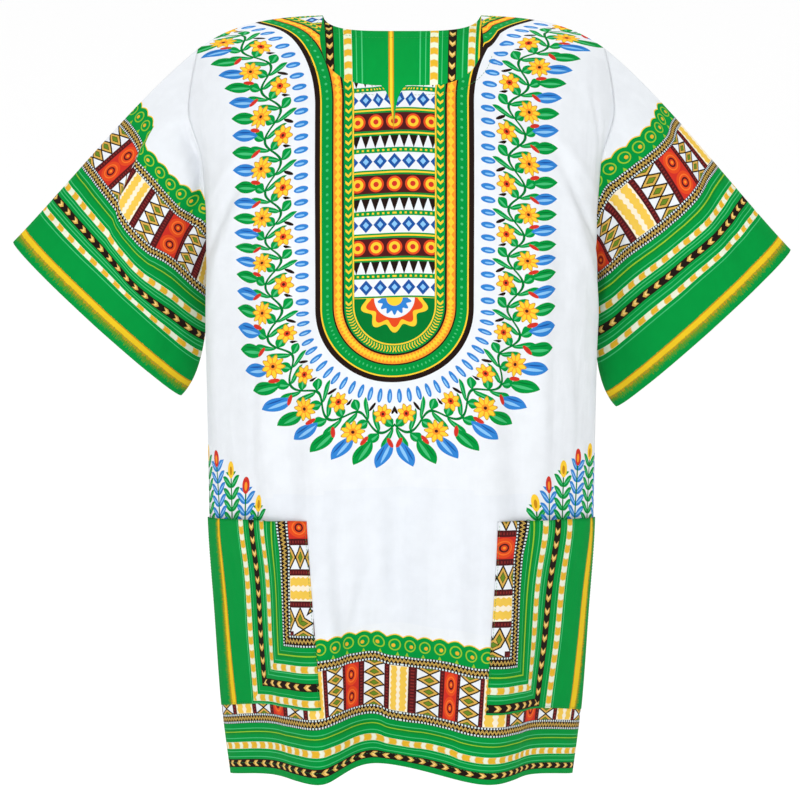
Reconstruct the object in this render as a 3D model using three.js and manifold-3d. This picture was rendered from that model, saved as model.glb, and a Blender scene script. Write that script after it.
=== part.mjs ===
// A printed cotton tunic shirt with short wide sleeves, a slit round neck and two
// patch pockets, filled out as if worn and open at the neck, hem and cuffs.
// Millimetres, +Z up. The front faces -Y and +X is the wearer's left. The origin
// lies between the neck points, where the cloth rests on the wearer's shoulders.
import * as THREE from "three";
import { mergeVertices } from "three/addons/utils/BufferGeometryUtils.js";
import Module from "manifold-3d";

// ---- driving dimensions ----------------------------------------------------
const WALL = 1.6; // cloth wall
const SEAM_GAP = 0.4; // between two pieces along a seam
const NECK_HALF_WIDTH = 80;
const FRONT_NECK_DROP = 67;
const BACK_NECK_DROP = 17;
const NECK_SQUARENESS = 4; // power of the neckline's curve: 2 is an ellipse
const SLIT_DEPTH = 42;
const SLIT_WIDTH = 9; // at the neckline
const SLIT_X = -8; // a little off the middle
const SLIT_REACH = { above: 30, forward: 140 }; // of the wedge that cuts it
const POCKET_INNER = 92; // from the centre front to the pocket, along the cloth
const POCKET_WIDTH = 165;
const POCKET_ROWS = { top: 8, bottom: 10 }; // rows of the table below
const POCKET_WALL = 1.2;
const POCKET_LIFT = WALL / 2 + 0.3 + POCKET_WALL / 2; // the patch's middle above the panel's
const CUFFS = {
  right: { top: { x: 404, y: 0, z: -232 }, bottom: { x: 236, y: 28, z: -400 } },
  left: { top: { x: 405, y: 0, z: -240 }, bottom: { x: 230, y: 28, z: -412 } },
};
const CUFF_HALF_DEPTH = 35; // of the open cuff, front to back
const SLEEVE_START = 1.5; // the sleeve's first ring beyond the armhole's edge
const SLEEVE_LIFT = WALL + 0.4; // and, at the armpit, off the panels' wall

// Grids, as numbers of cells. The pocket lies on the panel's own grid lines.
const NECK_CELLS = 9; // from the centre to the neck point
const SHOULDER_CELLS = 6; // from the neck point to the armhole
const POCKET_FIRST_CELL = 6; // from the centre to the pocket
const POCKET_LAST_CELL = 14;
const YOKE_CELLS = 8; // from the top edge down to the chest's row
const CELLS_PER_ROW = [0, 0, 0, 2, 2, 2, 2, 2, 3, 3, 2]; // below each row of the table
const SLEEVE_CELLS_ALONG = 9;

// Each row is one cross-section of a panel, from the shoulder ridge down to the hem.
// It runs through the centre, which may lie off the middle, and on both sides through
// the fold, flank, side and edge. centreZ and edgeZ are heights at the middle and at the
// side or armhole edge, and drop is the power by which the height changes in between.
const COLUMNS = [
  "centreZ", "edgeZ", "drop", "centreX", "centreY", "foldX", "foldY",
  "flankX", "flankY", "sideX", "sideY", "edgeX", "edgeY",
];
const RIDGE = [0, -34, 4.5, 0, 0, 81, 0, 141, 0, 185, 0, 208, 0];
const FRONT_ROWS = [
  RIDGE,
  /* collar bones  */ [-20, -55, 5, 0, -48, 85, -46, 145, -39, 188, -26, 212, -12],
  /* upper chest   */ [-77, -94, 3, 0, -88, 90, -85, 148, -72, 193, -50, 216, -28],
  /* chest         */ [-162, -150, 2, 0, -115, 95, -110, 155, -91, 189, -64, 202, -36],
  /* lower armhole */ [-216, -212, 2, 0, -123, 96, -118, 157, -96, 194, -60, 200, -17],
  /* armpit        */ [-262, -262, 2, 0, -126, 97, -121, 158, -97, 198, -52, 196, 14],
  /* waist         */ [-330, -335, 2, 0, -129, 98, -126, 160, -98, 200, -48, 195, 14],
  /* hip           */ [-415, -425, 2, -2, -130, 98, -131, 158, -97, 200, -42, 196, 14],
  /* pocket tops   */ [-492, -530, 2, -6, -128, 95, -138, 153, -93, 200, -38, 197, 12],
  /* thigh         */ [-592, -638, 2, -14, -122, 90, -146, 148, -88, 195, -38, 195, 9],
  /* upper hem     */ [-685, -741, 2, -22, -116, 86, -151, 143, -86, 190, -38, 190, 6],
  /* hem           */ [-762, -818, 2, -28, -112, 84, -157, 137, -87, 182, -37, 183, 3],
];
const BACK_ROWS = [
  RIDGE,
  /* neck base      */ [-18, -55, 5, 0, 46, 85, 45, 145, 40, 188, 29, 212, 14],
  /* shoulder blade */ [-74, -94, 3, 0, 85, 90, 83, 148, 73, 193, 56, 216, 36],
  /* upper back     */ [-160, -150, 2, 0, 112, 95, 107, 155, 93, 190, 70, 202, 52],
  /* lower armhole  */ [-214, -212, 2, 0, 119, 96, 115, 156, 99, 189, 73, 200, 44],
  /* armpit         */ [-260, -262, 2, 0, 122, 96, 117, 154, 100, 186, 71, 196, 14],
  /* waist          */ [-330, -335, 2, 3, 123, 95, 119, 152, 100, 185, 72, 195, 14],
  /* hip            */ [-415, -425, 2, 6, 122, 92, 121, 149, 99, 184, 71, 196, 14],
  /* seat           */ [-500, -530, 2, 10, 120, 88, 124, 145, 97, 184, 67, 197, 12],
  /* thigh          */ [-602, -638, 2, 14, 114, 80, 131, 141, 94, 182, 61, 195, 9],
  /* upper hem      */ [-697, -741, 2, 18, 108, 76, 137, 137, 91, 178, 55, 190, 6],
  /* hem            */ [-775, -818, 2, 20, 104, 74, 142, 132, 89, 171, 50, 183, 3],
];
// Directions, times length, in which the sleeve leaves the armhole. at is the share of
// the way round, from the top past the front.
const SLEEVE_LEAVES = [
  { at: 0, x: 190, y: 0, z: -148 },
  { at: 0.25, x: 165, y: 16, z: -120 },
  { at: 0.5, x: 45, y: 80, z: -110 },
  { at: 0.75, x: 150, y: -8, z: -120 },
  { at: 1, x: 190, y: 0, z: -148 },
];
const SLEEVE_ARRIVES = { top: 250, bottom: 138 }; // lengths along the axis at the cuff

// ---- curves ------------------------------------------------------------------
// A smooth curve through evenly spaced values, at place t counted in values. slopeOf
// gives the slope at a value from the steps before and after it.
function through(values, t, slopeOf) {
  const last = values.length - 1;
  const i = Math.min(Math.max(Math.floor(t), 0), last - 1);
  const f = t - i;
  const step = values[i + 1] - values[i];
  const m = slopeOf(i > 0 ? values[i] - values[i - 1] : step, step);
  const n = slopeOf(step, i + 2 <= last ? values[i + 2] - values[i + 1] : step);
  const [f2, f3] = [f * f, f * f * f];
  return values[i] + (f3 - 2 * f2 + f) * m + (3 * f2 - 2 * f3) * step + (f3 - f2) * n;
}
const rounded = (before, after) => (before + after) / 2;
const steady = (before, after) => (before * after <= 0 ? 0 : (2 * before * after) / (before + after));

function rowAt(rows, t) {
  return Object.fromEntries(COLUMNS.map((name, c) => [name, through(rows.map((r) => r[c]), t, steady)]));
}

// A section's points from one edge to the other, and their distances along the cloth.
const SECTION_STEPS = 192;
function sectionOf(row) {
  const half = ["edge", "side", "flank", "fold"];
  const xs = half.map((name) => row[name + "X"]);
  const ys = half.map((name) => row[name + "Y"]);
  const allXs = [...xs.map((x) => -x), row.centreX, ...xs.reverse()];
  const allYs = [...ys, row.centreY, ...ys.toReversed()];
  const points = [];
  const lengths = [];
  for (let i = 0; i <= SECTION_STEPS; i++) {
    const t = ((allXs.length - 1) * i) / SECTION_STEPS;
    points.push([through(allXs, t, rounded), through(allYs, t, rounded)]);
    const [a, b] = [points[Math.max(i - 1, 0)], points[i]];
    lengths.push((lengths[i - 1] ?? 0) + Math.hypot(b[0] - a[0], b[1] - a[1]));
  }
  return { points, lengths, halfWidth: lengths[SECTION_STEPS] / 2 };
}

function onSection(section, across) {
  const wanted = (1 + across) * section.halfWidth;
  let i = 1;
  while (i < SECTION_STEPS && section.lengths[i] < wanted) i++;
  const f = (wanted - section.lengths[i - 1]) / (section.lengths[i] - section.lengths[i - 1]);
  const [a, b] = [section.points[i - 1], section.points[i]];
  return [a[0] + (b[0] - a[0]) * f, a[1] + (b[1] - a[1]) * f];
}

// A panel's surface: across runs from -1 at one edge to 1 at the other, and down
// counts rows of the table from the shoulder ridge.
const sections = new Map();
function panelPoint(rows, across, down) {
  const key = (rows === FRONT_ROWS ? "front" : "back") + down.toFixed(6);
  if (!sections.has(key)) {
    const row = rowAt(rows, down);
    sections.set(key, { row, section: sectionOf(row) });
  }
  const { row, section } = sections.get(key);
  const [x, y] = onSection(section, across);
  const z = row.centreZ + (row.edgeZ - row.centreZ) * Math.abs(across) ** row.drop;
  return new THREE.Vector3(x, y, z);
}

// ---- walls ---------------------------------------------------------------------
// A wall round the middle surface of a grid of { point, normal }. Rows wrap where
// round is true. The normals point out of the garment.
function wall(grid, thickness, round = false) {
  const down = grid.length;
  const across = grid[0].length;
  const positions = [];
  for (const side of [1, -1])
    for (const row of grid)
      for (const { point, normal } of row)
        positions.push(...point.clone().addScaledVector(normal, (side * thickness) / 2));
  const at = (side, j, i) => side * down * across + j * across + (i % across);
  const index = [];
  const quad = (a, b, c, d) => index.push(a, b, c, a, c, d);
  const cells = round ? across : across - 1;
  for (let j = 0; j < down - 1; j++)
    for (let i = 0; i < cells; i++) {
      quad(at(0, j, i), at(0, j + 1, i), at(0, j + 1, i + 1), at(0, j, i + 1));
      quad(at(1, j, i), at(1, j, i + 1), at(1, j + 1, i + 1), at(1, j + 1, i));
    }
  for (let i = 0; i < cells; i++) {
    quad(at(0, 0, i), at(0, 0, i + 1), at(1, 0, i + 1), at(1, 0, i));
    quad(at(0, down - 1, i), at(1, down - 1, i), at(1, down - 1, i + 1), at(0, down - 1, i + 1));
  }
  if (!round)
    for (let j = 0; j < down - 1; j++) {
      quad(at(0, j, 0), at(1, j, 0), at(1, j + 1, 0), at(0, j + 1, 0));
      quad(at(0, j, across - 1), at(0, j + 1, across - 1), at(1, j + 1, across - 1), at(1, j, across - 1));
    }
  const geometry = new THREE.BufferGeometry();
  geometry.setAttribute("position", new THREE.Float32BufferAttribute(positions, 3));
  geometry.setIndex(index);
  return geometry;
}

// Turns a wall's faces to point out when its grid runs the other way round.
function facingOut(geometry) {
  const p = geometry.attributes.position;
  const index = geometry.index.array;
  const [a, b, c] = [new THREE.Vector3(), new THREE.Vector3(), new THREE.Vector3()];
  let volume = 0;
  for (let i = 0; i < index.length; i += 3) {
    a.fromBufferAttribute(p, index[i]);
    b.fromBufferAttribute(p, index[i + 1]);
    c.fromBufferAttribute(p, index[i + 2]);
    volume += a.dot(b.cross(c));
  }
  if (volume < 0)
    for (let i = 0; i < index.length; i += 3)
      [index[i + 1], index[i + 2]] = [index[i + 2], index[i + 1]];
  return geometry;
}

// ---- front and back ---------------------------------------------------------------
const HEM = FRONT_ROWS.length - 1;
const NECK_SHARE = NECK_HALF_WIDTH / rowAt([RIDGE, RIDGE], 0).edgeX; // of the ridge's half
const NUDGE = 0.002; // for slopes, in rows and in shares of the half width
const EDGE = 0.99; // what counts as the edge, as a share of the half width
const YOKE_ROW = 3; // the chest, where the columns leave the yoke
const YOKE_SPREAD = 1.15; // above 1, the grid is finer over the shoulder
const ARMPIT_ROW = 5;
const RIDGE_GAP = 0.006; // half the seam's gap along the ridge, in rows
const RIDGE_ROWS = 0.02; // what counts as the ridge, in rows

function panelNormal(rows, across, down) {
  const a = panelPoint(rows, across + (across < EDGE ? NUDGE : 0), down);
  const b = panelPoint(rows, across - (across > -EDGE ? NUDGE : 0), down);
  const c = panelPoint(rows, across, Math.min(down + NUDGE, HEM));
  const d = panelPoint(rows, across, Math.max(down - NUDGE, 0));
  const normal = a.sub(b).cross(c.sub(d)).normalize();
  return rows === FRONT_ROWS ? normal.negate() : normal;
}

// Where two panels meet they use one normal, so that their cut edges are parallel.
function seamNormal(rows, across, down) {
  const normal = panelNormal(rows, across, down);
  if (down < RIDGE_ROWS) return normal.setY(0).normalize();
  if (Math.abs(across) < EDGE || down < ARMPIT_ROW) return normal;
  const other = rows === FRONT_ROWS ? BACK_ROWS : FRONT_ROWS;
  return normal.add(panelNormal(other, across, down)).normalize();
}

// How far down the neckline lies, for a share of the neck's half width.
const HALVINGS = 30;
function necklineAt(rows, out, neckDrop) {
  const wanted = -neckDrop * Math.sqrt(1 - Math.min(out, 1) ** NECK_SQUARENESS);
  let [low, high] = [0, YOKE_ROW];
  for (let i = 0; i < HALVINGS; i++) {
    const middle = (low + high) / 2;
    if (panelPoint(rows, out * NECK_SHARE, middle).z > wanted) low = middle;
    else high = middle;
  }
  return Math.max(low, RIDGE_GAP);
}

// The panel's top edge as evenly spaced places: along the neckline from the middle to
// the neck point, and on along the ridge to the armhole.
const NECK_STEPS = 60;
function topPlaces(rows, neckDrop) {
  const line = [];
  for (let i = 0; i <= NECK_STEPS; i++) {
    const out = Math.sin((Math.PI / 2) * (i / NECK_STEPS));
    const place = { across: out * NECK_SHARE, down: necklineAt(rows, out, neckDrop) };
    const point = panelPoint(rows, place.across, place.down);
    const before = line[i - 1];
    line.push({ ...place, point, length: before ? before.length + point.distanceTo(before.point) : 0 });
  }
  const places = [];
  for (let k = 0; k <= NECK_CELLS; k++) {
    const wanted = (line[NECK_STEPS].length * k) / NECK_CELLS;
    places.push(line.find(({ length }) => length >= wanted - 1e-6));
  }
  for (let k = 1; k <= SHOULDER_CELLS; k++)
    places.push({ across: NECK_SHARE + ((1 - NECK_SHARE) * k) / SHOULDER_CELLS, down: RIDGE_GAP });
  return places;
}

// The share of the half width at which column i lies below the yoke.
const HALF_WIDTH = sectionOf(rowAt(FRONT_ROWS, POCKET_ROWS.bottom)).halfWidth;
const SEAM_SHARE = 1 - SEAM_GAP / 2 / HALF_WIDTH;
function lowPlace(i) {
  const [inner, outer] = [POCKET_INNER / HALF_WIDTH, (POCKET_INNER + POCKET_WIDTH) / HALF_WIDTH];
  if (i <= POCKET_FIRST_CELL) return (inner * i) / POCKET_FIRST_CELL;
  if (i > POCKET_LAST_CELL) return 1;
  return inner + ((outer - inner) * (i - POCKET_FIRST_CELL)) / (POCKET_LAST_CELL - POCKET_FIRST_CELL);
}

// The rows of the grid, as places in the table: spread evenly from the column's own top
// down to the chest, and the same for all columns from there to the hem.
function downPlaces(top) {
  const places = [];
  for (let j = 0; j < YOKE_CELLS; j++)
    places.push(top + (YOKE_ROW - top) * (j / YOKE_CELLS) ** YOKE_SPREAD);
  CELLS_PER_ROW.forEach((cells, row) => {
    for (let k = 0; k < cells; k++) places.push(row + k / cells);
  });
  return [...places, HEM];
}

function panelGrid(rows, neckDrop) {
  const half = NECK_CELLS + SHOULDER_CELLS;
  const tops = topPlaces(rows, neckDrop);
  const columns = [];
  for (let i = -half; i <= half; i++) {
    const top = tops[Math.abs(i)];
    const low = lowPlace(Math.abs(i));
    columns.push(
      downPlaces(top.down).map((down) => {
        const f = Math.min((down - top.down) / (YOKE_ROW - top.down), 1);
        const across = Math.sign(i) * SEAM_SHARE * (top.across + (low - top.across) * f);
        return { point: panelPoint(rows, across, down), normal: seamNormal(rows, across, down) };
      }),
    );
  }
  return columns[0].map((_, j) => columns.map((column) => column[j]));
}

// ---- sleeves ------------------------------------------------------------------------
// The armhole's edge as a closed ring on one side, from the shoulder down the front to
// the armpit and up the back. These are the panels' own edge points.
function armholeRing(frontGrid, backGrid) {
  const cells = YOKE_CELLS + CELLS_PER_ROW.slice(0, ARMPIT_ROW).reduce((sum, n) => sum + n, 0);
  const edge = (grid, j) => grid[j][grid[j].length - 1];
  const ring = [];
  for (let j = 0; j < cells; j++) ring.push(edge(frontGrid, j));
  for (let j = cells; j > 0; j--) ring.push(edge(backGrid, j));
  return ring;
}

// How far round the sleeve each point of a ring lies, as a share by length.
function sharesRound(ring) {
  const lengths = [0];
  ring.forEach(({ point }, i) =>
    lengths.push(lengths[i] + point.distanceTo(ring[(i + 1) % ring.length].point)),
  );
  return ring.map((_, i) => lengths[i] / lengths[ring.length]);
}

function cuffPoint(cuff, share) {
  const angle = 2 * Math.PI * share;
  const middle = new THREE.Vector3().addVectors(cuff.top, cuff.bottom).divideScalar(2);
  const up = new THREE.Vector3().subVectors(cuff.top, cuff.bottom).divideScalar(2);
  const point = middle.addScaledVector(up, Math.cos(angle));
  point.y -= CUFF_HALF_DEPTH * Math.sin(angle);
  return point;
}

function leaving(share) {
  const i = Math.min(Math.floor(share * 4), 3);
  const f = share * 4 - i;
  const ease = f * f * (3 - 2 * f);
  const [a, b] = [SLEEVE_LEAVES[i], SLEEVE_LEAVES[i + 1]];
  return new THREE.Vector3().lerpVectors(a, b, ease);
}

// One sleeve's grid, on the +X side.
function sleeveGrid(frontGrid, backGrid, cuff) {
  const start = armholeRing(frontGrid, backGrid);
  const shares = sharesRound(start);
  const axis = new THREE.Vector3(cuff.top.z - cuff.bottom.z, 0, cuff.bottom.x - cuff.top.x);
  axis.normalize();
  const points = [];
  for (let j = 0; j <= SLEEVE_CELLS_ALONG; j++)
    points.push(
      start.map((from, i) => {
        const out = leaving(shares[i]);
        const low = (1 - Math.cos(2 * Math.PI * shares[i])) / 2;
        const begin = from.point
          .clone()
          .addScaledVector(from.normal, SLEEVE_LIFT * low)
          .addScaledVector(out.clone().normalize(), SLEEVE_START);
        const pull = SLEEVE_ARRIVES.top + (SLEEVE_ARRIVES.bottom - SLEEVE_ARRIVES.top) * low;
        const s = j / SLEEVE_CELLS_ALONG;
        const [s2, s3] = [s * s, s * s * s];
        return new THREE.Vector3()
          .addScaledVector(begin, 2 * s3 - 3 * s2 + 1)
          .addScaledVector(out, s3 - 2 * s2 + s)
          .addScaledVector(cuffPoint(cuff, shares[i]), 3 * s2 - 2 * s3)
          .addScaledVector(axis, (s3 - s2) * pull);
      }),
    );
  const cells = start.length;
  return points.map((row, j) =>
    row.map((point, i) => {
      const round = row[(i + 1) % cells].clone().sub(row[(i - 1 + cells) % cells]);
      const next = points[Math.min(j + 1, SLEEVE_CELLS_ALONG)][i];
      const along = next.clone().sub(points[Math.max(j - 1, 0)][i]);
      return { point, normal: round.cross(along).normalize() };
    }),
  );
}

// ---- pockets ----------------------------------------------------------------------------
// A patch made from the front's own grid points, moved out.
function pocketGrid(frontGrid, side) {
  const centre = (frontGrid[0].length - 1) / 2;
  const cellsAbove = (row) => YOKE_CELLS + CELLS_PER_ROW.slice(0, row).reduce((sum, n) => sum + n, 0);
  const ends = [POCKET_FIRST_CELL, POCKET_LAST_CELL].map((i) => centre + side * i);
  return frontGrid
    .slice(cellsAbove(POCKET_ROWS.top), cellsAbove(POCKET_ROWS.bottom) + 1)
    .map((row) =>
      row.slice(Math.min(...ends), Math.max(...ends) + 1).map(({ point, normal }) => ({
        point: point.clone().addScaledVector(normal, POCKET_LIFT),
        normal,
      })),
    );
}

// ---- the slit, cut with a wedge that narrows downwards -----------------------------
const wasm = await Module();
wasm.setup();

function solid(geometry) {
  const merged = mergeVertices(geometry, 1e-3);
  return new wasm.Manifold(
    new wasm.Mesh({
      numProp: 3,
      vertProperties: new Float32Array(merged.attributes.position.array),
      triVerts: new Uint32Array(merged.index.array),
    }),
  );
}

function geometryOf(made) {
  const mesh = made.getMesh();
  const geometry = new THREE.BufferGeometry();
  geometry.setAttribute("position", new THREE.BufferAttribute(mesh.vertProperties, 3));
  geometry.setIndex(new THREE.BufferAttribute(mesh.triVerts, 1));
  return geometry;
}

function slitWedge() {
  const top = -FRONT_NECK_DROP + SLIT_REACH.above;
  const halfTop = (SLIT_WIDTH / 2) * (1 + SLIT_REACH.above / SLIT_DEPTH);
  const shape = new THREE.Shape([
    new THREE.Vector2(-halfTop, top),
    new THREE.Vector2(0, -FRONT_NECK_DROP - SLIT_DEPTH),
    new THREE.Vector2(halfTop, top),
  ]);
  const wedge = new THREE.ExtrudeGeometry(shape, { depth: SLIT_REACH.forward, bevelEnabled: false });
  wedge.deleteAttribute("normal");
  wedge.deleteAttribute("uv");
  wedge.rotateX(Math.PI / 2); // the shape's y is now z, and its depth runs to -Y
  wedge.translate(SLIT_X, 0, 0);
  return wedge;
}

// ---- the garment ------------------------------------------------------------------------
const cloth = (color) => new THREE.MeshStandardMaterial({ color, roughness: 0.85, metalness: 0 });
const WHITE = 0xf1f3f8;
const GREEN = 0x0b9440;

const garment = new THREE.Group();
function add(name, geometry, color) {
  const mesh = new THREE.Mesh(geometry, cloth(color));
  mesh.name = name;
  garment.add(mesh);
}

const frontGrid = panelGrid(FRONT_ROWS, FRONT_NECK_DROP);
const backGrid = panelGrid(BACK_ROWS, BACK_NECK_DROP);
const frontWall = facingOut(wall(frontGrid, WALL));
add("front", geometryOf(solid(frontWall).subtract(solid(slitWedge()))), WHITE);
add("back", facingOut(wall(backGrid, WALL)), WHITE);

const mirrored = (grid) =>
  grid.map((row) =>
    row.map(({ point, normal }) => ({
      point: new THREE.Vector3(-point.x, point.y, point.z),
      normal: new THREE.Vector3(-normal.x, normal.y, normal.z),
    })),
  );
const sleeveRight = mirrored(sleeveGrid(frontGrid, backGrid, CUFFS.right));
const sleeveLeft = sleeveGrid(frontGrid, backGrid, CUFFS.left);
add("sleeve_right", facingOut(wall(sleeveRight, WALL, true)), GREEN);
add("sleeve_left", facingOut(wall(sleeveLeft, WALL, true)), GREEN);
add("pocket_right", facingOut(wall(pocketGrid(frontGrid, -1), POCKET_WALL)), GREEN);
add("pocket_left", facingOut(wall(pocketGrid(frontGrid, 1), POCKET_WALL)), GREEN);

export default garment;
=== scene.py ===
# A printed cotton dashiki, filled out as if worn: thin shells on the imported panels'
# form, with creases, stitching and a woven, printed finish. Metres, in the row's frame.
import math

import bpy
import numpy as np
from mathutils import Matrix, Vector


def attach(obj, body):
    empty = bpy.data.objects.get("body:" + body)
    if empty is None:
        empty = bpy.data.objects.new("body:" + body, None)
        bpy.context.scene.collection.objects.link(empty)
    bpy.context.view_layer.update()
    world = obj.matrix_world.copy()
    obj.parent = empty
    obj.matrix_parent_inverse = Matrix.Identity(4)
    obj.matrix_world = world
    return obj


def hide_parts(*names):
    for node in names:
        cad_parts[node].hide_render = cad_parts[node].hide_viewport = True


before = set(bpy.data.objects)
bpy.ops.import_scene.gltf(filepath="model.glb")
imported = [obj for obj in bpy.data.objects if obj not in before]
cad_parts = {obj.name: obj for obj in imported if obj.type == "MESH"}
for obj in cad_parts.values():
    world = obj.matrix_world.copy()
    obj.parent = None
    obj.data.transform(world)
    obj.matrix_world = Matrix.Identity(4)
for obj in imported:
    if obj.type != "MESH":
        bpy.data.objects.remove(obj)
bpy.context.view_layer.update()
MM = 0.001

# ---- camera, light and floor
AIM = Vector((-0.0016, 0.0, -0.400))
DISTANCE = 2.140
ELEVATION = math.radians(11.5)
LENS = 91
SENSOR_WIDTH = 36
FLOOR_Z = -1.45  # a wearer's height below the shoulders
FLOOR_REACH = 400
FLOOR_WHITE = (0.97, 0.97, 0.97, 1)
WORLD_STRENGTH = 0.45
# Lights that face the cloth: name, kind, place, watts and the settings of that kind.
# The glow is inside the cloth, for the daylight that thin cotton lets through.
LIGHTS = (
    ("back", "SUN", AIM + Vector((0, 0.35, 0.94)), 2.0, {"angle": math.radians(25)}),
    ("key", "AREA", Vector((-2.4, -2.2, 0.9)), 20, {"size": 1.6, "color": (0.95, 0.98, 1.0)}),
    ("fill", "AREA", Vector((2.6, -1.9, 0.8)), 19.5, {"size": 1.6, "color": (0.97, 1.0, 1.0)}),
    ("front", "AREA", Vector((-0.3, -2.6, 0.7)), 26, {"size": 0.8}),
    ("glow", "POINT", Vector((0, -0.02, -0.20)), 1.0, {"shadow_soft_size": 0.05}),
)


def add_object(name, data):
    thing = bpy.data.objects.new(name, data)
    bpy.context.collection.objects.link(thing)
    return thing


def add_material(name):
    """A new material: gives it and its shader."""
    material = bpy.data.materials.new(name)
    material.use_nodes = True
    return material, material.node_tree.nodes["Principled BSDF"]


def face_aim(thing, place):
    thing.location = place
    thing.rotation_euler = (AIM - place).to_track_quat("-Z", "Y").to_euler()


def add_camera():
    camera = add_object("camera", bpy.data.cameras.new("camera"))
    face_aim(camera, AIM + DISTANCE * Vector((0, -math.cos(ELEVATION), math.sin(ELEVATION))))
    camera.data.lens = LENS
    camera.data.sensor_width = SENSOR_WIDTH
    bpy.context.scene.camera = camera


def add_light(name, kind, place, watts, settings):
    data = bpy.data.lights.new(name, kind)
    data.energy = watts
    if kind == "AREA":
        data.shape = "DISK"
    for setting, value in settings.items():
        setattr(data, setting, value)
    face_aim(add_object(name, data), place)


def add_world():
    world = bpy.data.worlds.new("studio")
    world.use_nodes = True
    background = world.node_tree.nodes["Background"]
    background.inputs["Color"].default_value = (1, 1, 1, 1)
    background.inputs["Strength"].default_value = WORLD_STRENGTH
    bpy.context.scene.world = world


def add_floor():
    mesh = bpy.data.meshes.new("floor")
    corners = [(-1, -1), (1, -1), (1, 1), (-1, 1)]
    mesh.from_pydata([(FLOOR_REACH * x, FLOOR_REACH * y, FLOOR_Z) for x, y in corners], [], [(0, 1, 2, 3)])
    material, shader = add_material("floor")
    shader.inputs["Base Color"].default_value = FLOOR_WHITE
    shader.inputs["Roughness"].default_value = 0.9
    mesh.materials.append(material)
    add_object("floor", mesh)


add_camera()
add_world()
for light in LIGHTS:
    add_light(*light)
add_floor()
bpy.context.scene.view_settings.view_transform = "Standard"

# ---- the garment's form, in millimetres
# Each row is one cross-section of a panel, from the shoulder ridge down to the hem.
COLUMNS = [
    "centreZ", "edgeZ", "drop", "centreX", "centreY", "foldX", "foldY",
    "flankX", "flankY", "sideX", "sideY", "edgeX", "edgeY",
]
RIDGE = [0, -34, 4.5, 0, 0, 81, 0, 141, 0, 185, 0, 208, 0]
FRONT_ROWS = [
    RIDGE,
    [-20, -55, 5, 0, -48, 85, -46, 145, -39, 188, -26, 212, -12],
    [-77, -94, 3, 0, -88, 90, -85, 148, -72, 193, -50, 216, -28],
    [-162, -150, 2, 0, -115, 95, -110, 155, -91, 189, -64, 202, -36],
    [-216, -212, 2, 0, -123, 96, -118, 157, -96, 194, -60, 200, -17],
    [-262, -262, 2, 0, -126, 97, -121, 158, -97, 198, -52, 196, 14],
    [-330, -335, 2, 0, -129, 98, -126, 160, -98, 200, -48, 195, 14],
    [-415, -425, 2, -2, -130, 98, -131, 158, -97, 200, -42, 196, 14],
    [-492, -530, 2, -6, -128, 95, -138, 153, -93, 200, -38, 197, 12],
    [-592, -638, 2, -14, -122, 90, -146, 148, -88, 195, -38, 195, 9],
    [-685, -741, 2, -22, -116, 86, -151, 143, -86, 190, -38, 190, 6],
    [-762, -818, 2, -28, -112, 84, -157, 137, -87, 182, -37, 183, 3],
]
BACK_ROWS = [
    RIDGE,
    [-18, -55, 5, 0, 46, 85, 45, 145, 40, 188, 29, 212, 14],
    [-74, -94, 3, 0, 85, 90, 83, 148, 73, 193, 56, 216, 36],
    [-160, -150, 2, 0, 112, 95, 107, 155, 93, 190, 70, 202, 52],
    [-214, -212, 2, 0, 119, 96, 115, 156, 99, 189, 73, 200, 44],
    [-260, -262, 2, 0, 122, 96, 117, 154, 100, 186, 71, 196, 14],
    [-330, -335, 2, 3, 123, 95, 119, 152, 100, 185, 72, 195, 14],
    [-415, -425, 2, 6, 122, 92, 121, 149, 99, 184, 71, 196, 14],
    [-500, -530, 2, 10, 120, 88, 124, 145, 97, 184, 67, 197, 12],
    [-602, -638, 2, 14, 114, 80, 131, 141, 94, 182, 61, 195, 9],
    [-697, -741, 2, 18, 108, 76, 137, 137, 91, 178, 55, 190, 6],
    [-775, -818, 2, 20, 104, 74, 142, 132, 89, 171, 50, 183, 3],
]
HEM = len(FRONT_ROWS) - 1
ARMPIT_ROW = 5
CHEST_ROW = 3
POCKET_FOOT_ROW = 10.0
POCKET_ROWS = {"right": (8, POCKET_FOOT_ROW), "left": (8, POCKET_FOOT_ROW + 0.055)}
NECK_HALF_WIDTH = 80
FRONT_NECK_DROP = 67
BACK_NECK_DROP = 17
RIDGE_HALF_WIDTH = 208
NECK_SHARE = NECK_HALF_WIDTH / RIDGE_HALF_WIDTH
SLIT_X = -8
SLIT_DEPTH = 42
SLIT_WIDTH = 4.2
SLIT_FLARE = 8  # more width at its very top
SLIT_REACH = 16  # how far aside the cloth gives way
POCKET_REACH = (92, 257)  # from the centre front, along the cloth
POCKET_LEAN = {"right": (5.0, -1.0), "left": (5.5, 2.5)}  # its inner edge, at top and foot
CUFFS = {
    "right": ((404, 0, -232), (236, 28, -400)),
    "left": ((405, 0, -240), (230, 28, -412)),
}
CUFF_HALF_DEPTH = 35
# How a sleeve leaves the armhole: at the top, in front, at the underarm, behind, at the top.
SLEEVE_LEAVES = np.array([[190, 0, -148], [165, 16, -120], [45, 80, -110], [150, -8, -120], [190, 0, -148]])
SLEEVE_ARRIVES = (250, 138)  # how firmly it meets the cuff, at the top and the underarm
SLEEVE_GAP = 0.08  # from the armhole's edge
CLOTH = 0.9 * MM
DOWN_SAMPLES, ACROSS_SAMPLES, LINE_SAMPLES = 661, 801, 385
SEAM_FADE = (1, 16)  # creases fade out this far from the side seams
RIDGE_FADE = (2, 30)  # and from the shoulder ridge
RIDGE_GAP = 0.006  # in rows: keeps the front off the back at the ridge
SEAM_SHARE = 1 - 0.15 / 290  # and at the side seams


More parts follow.
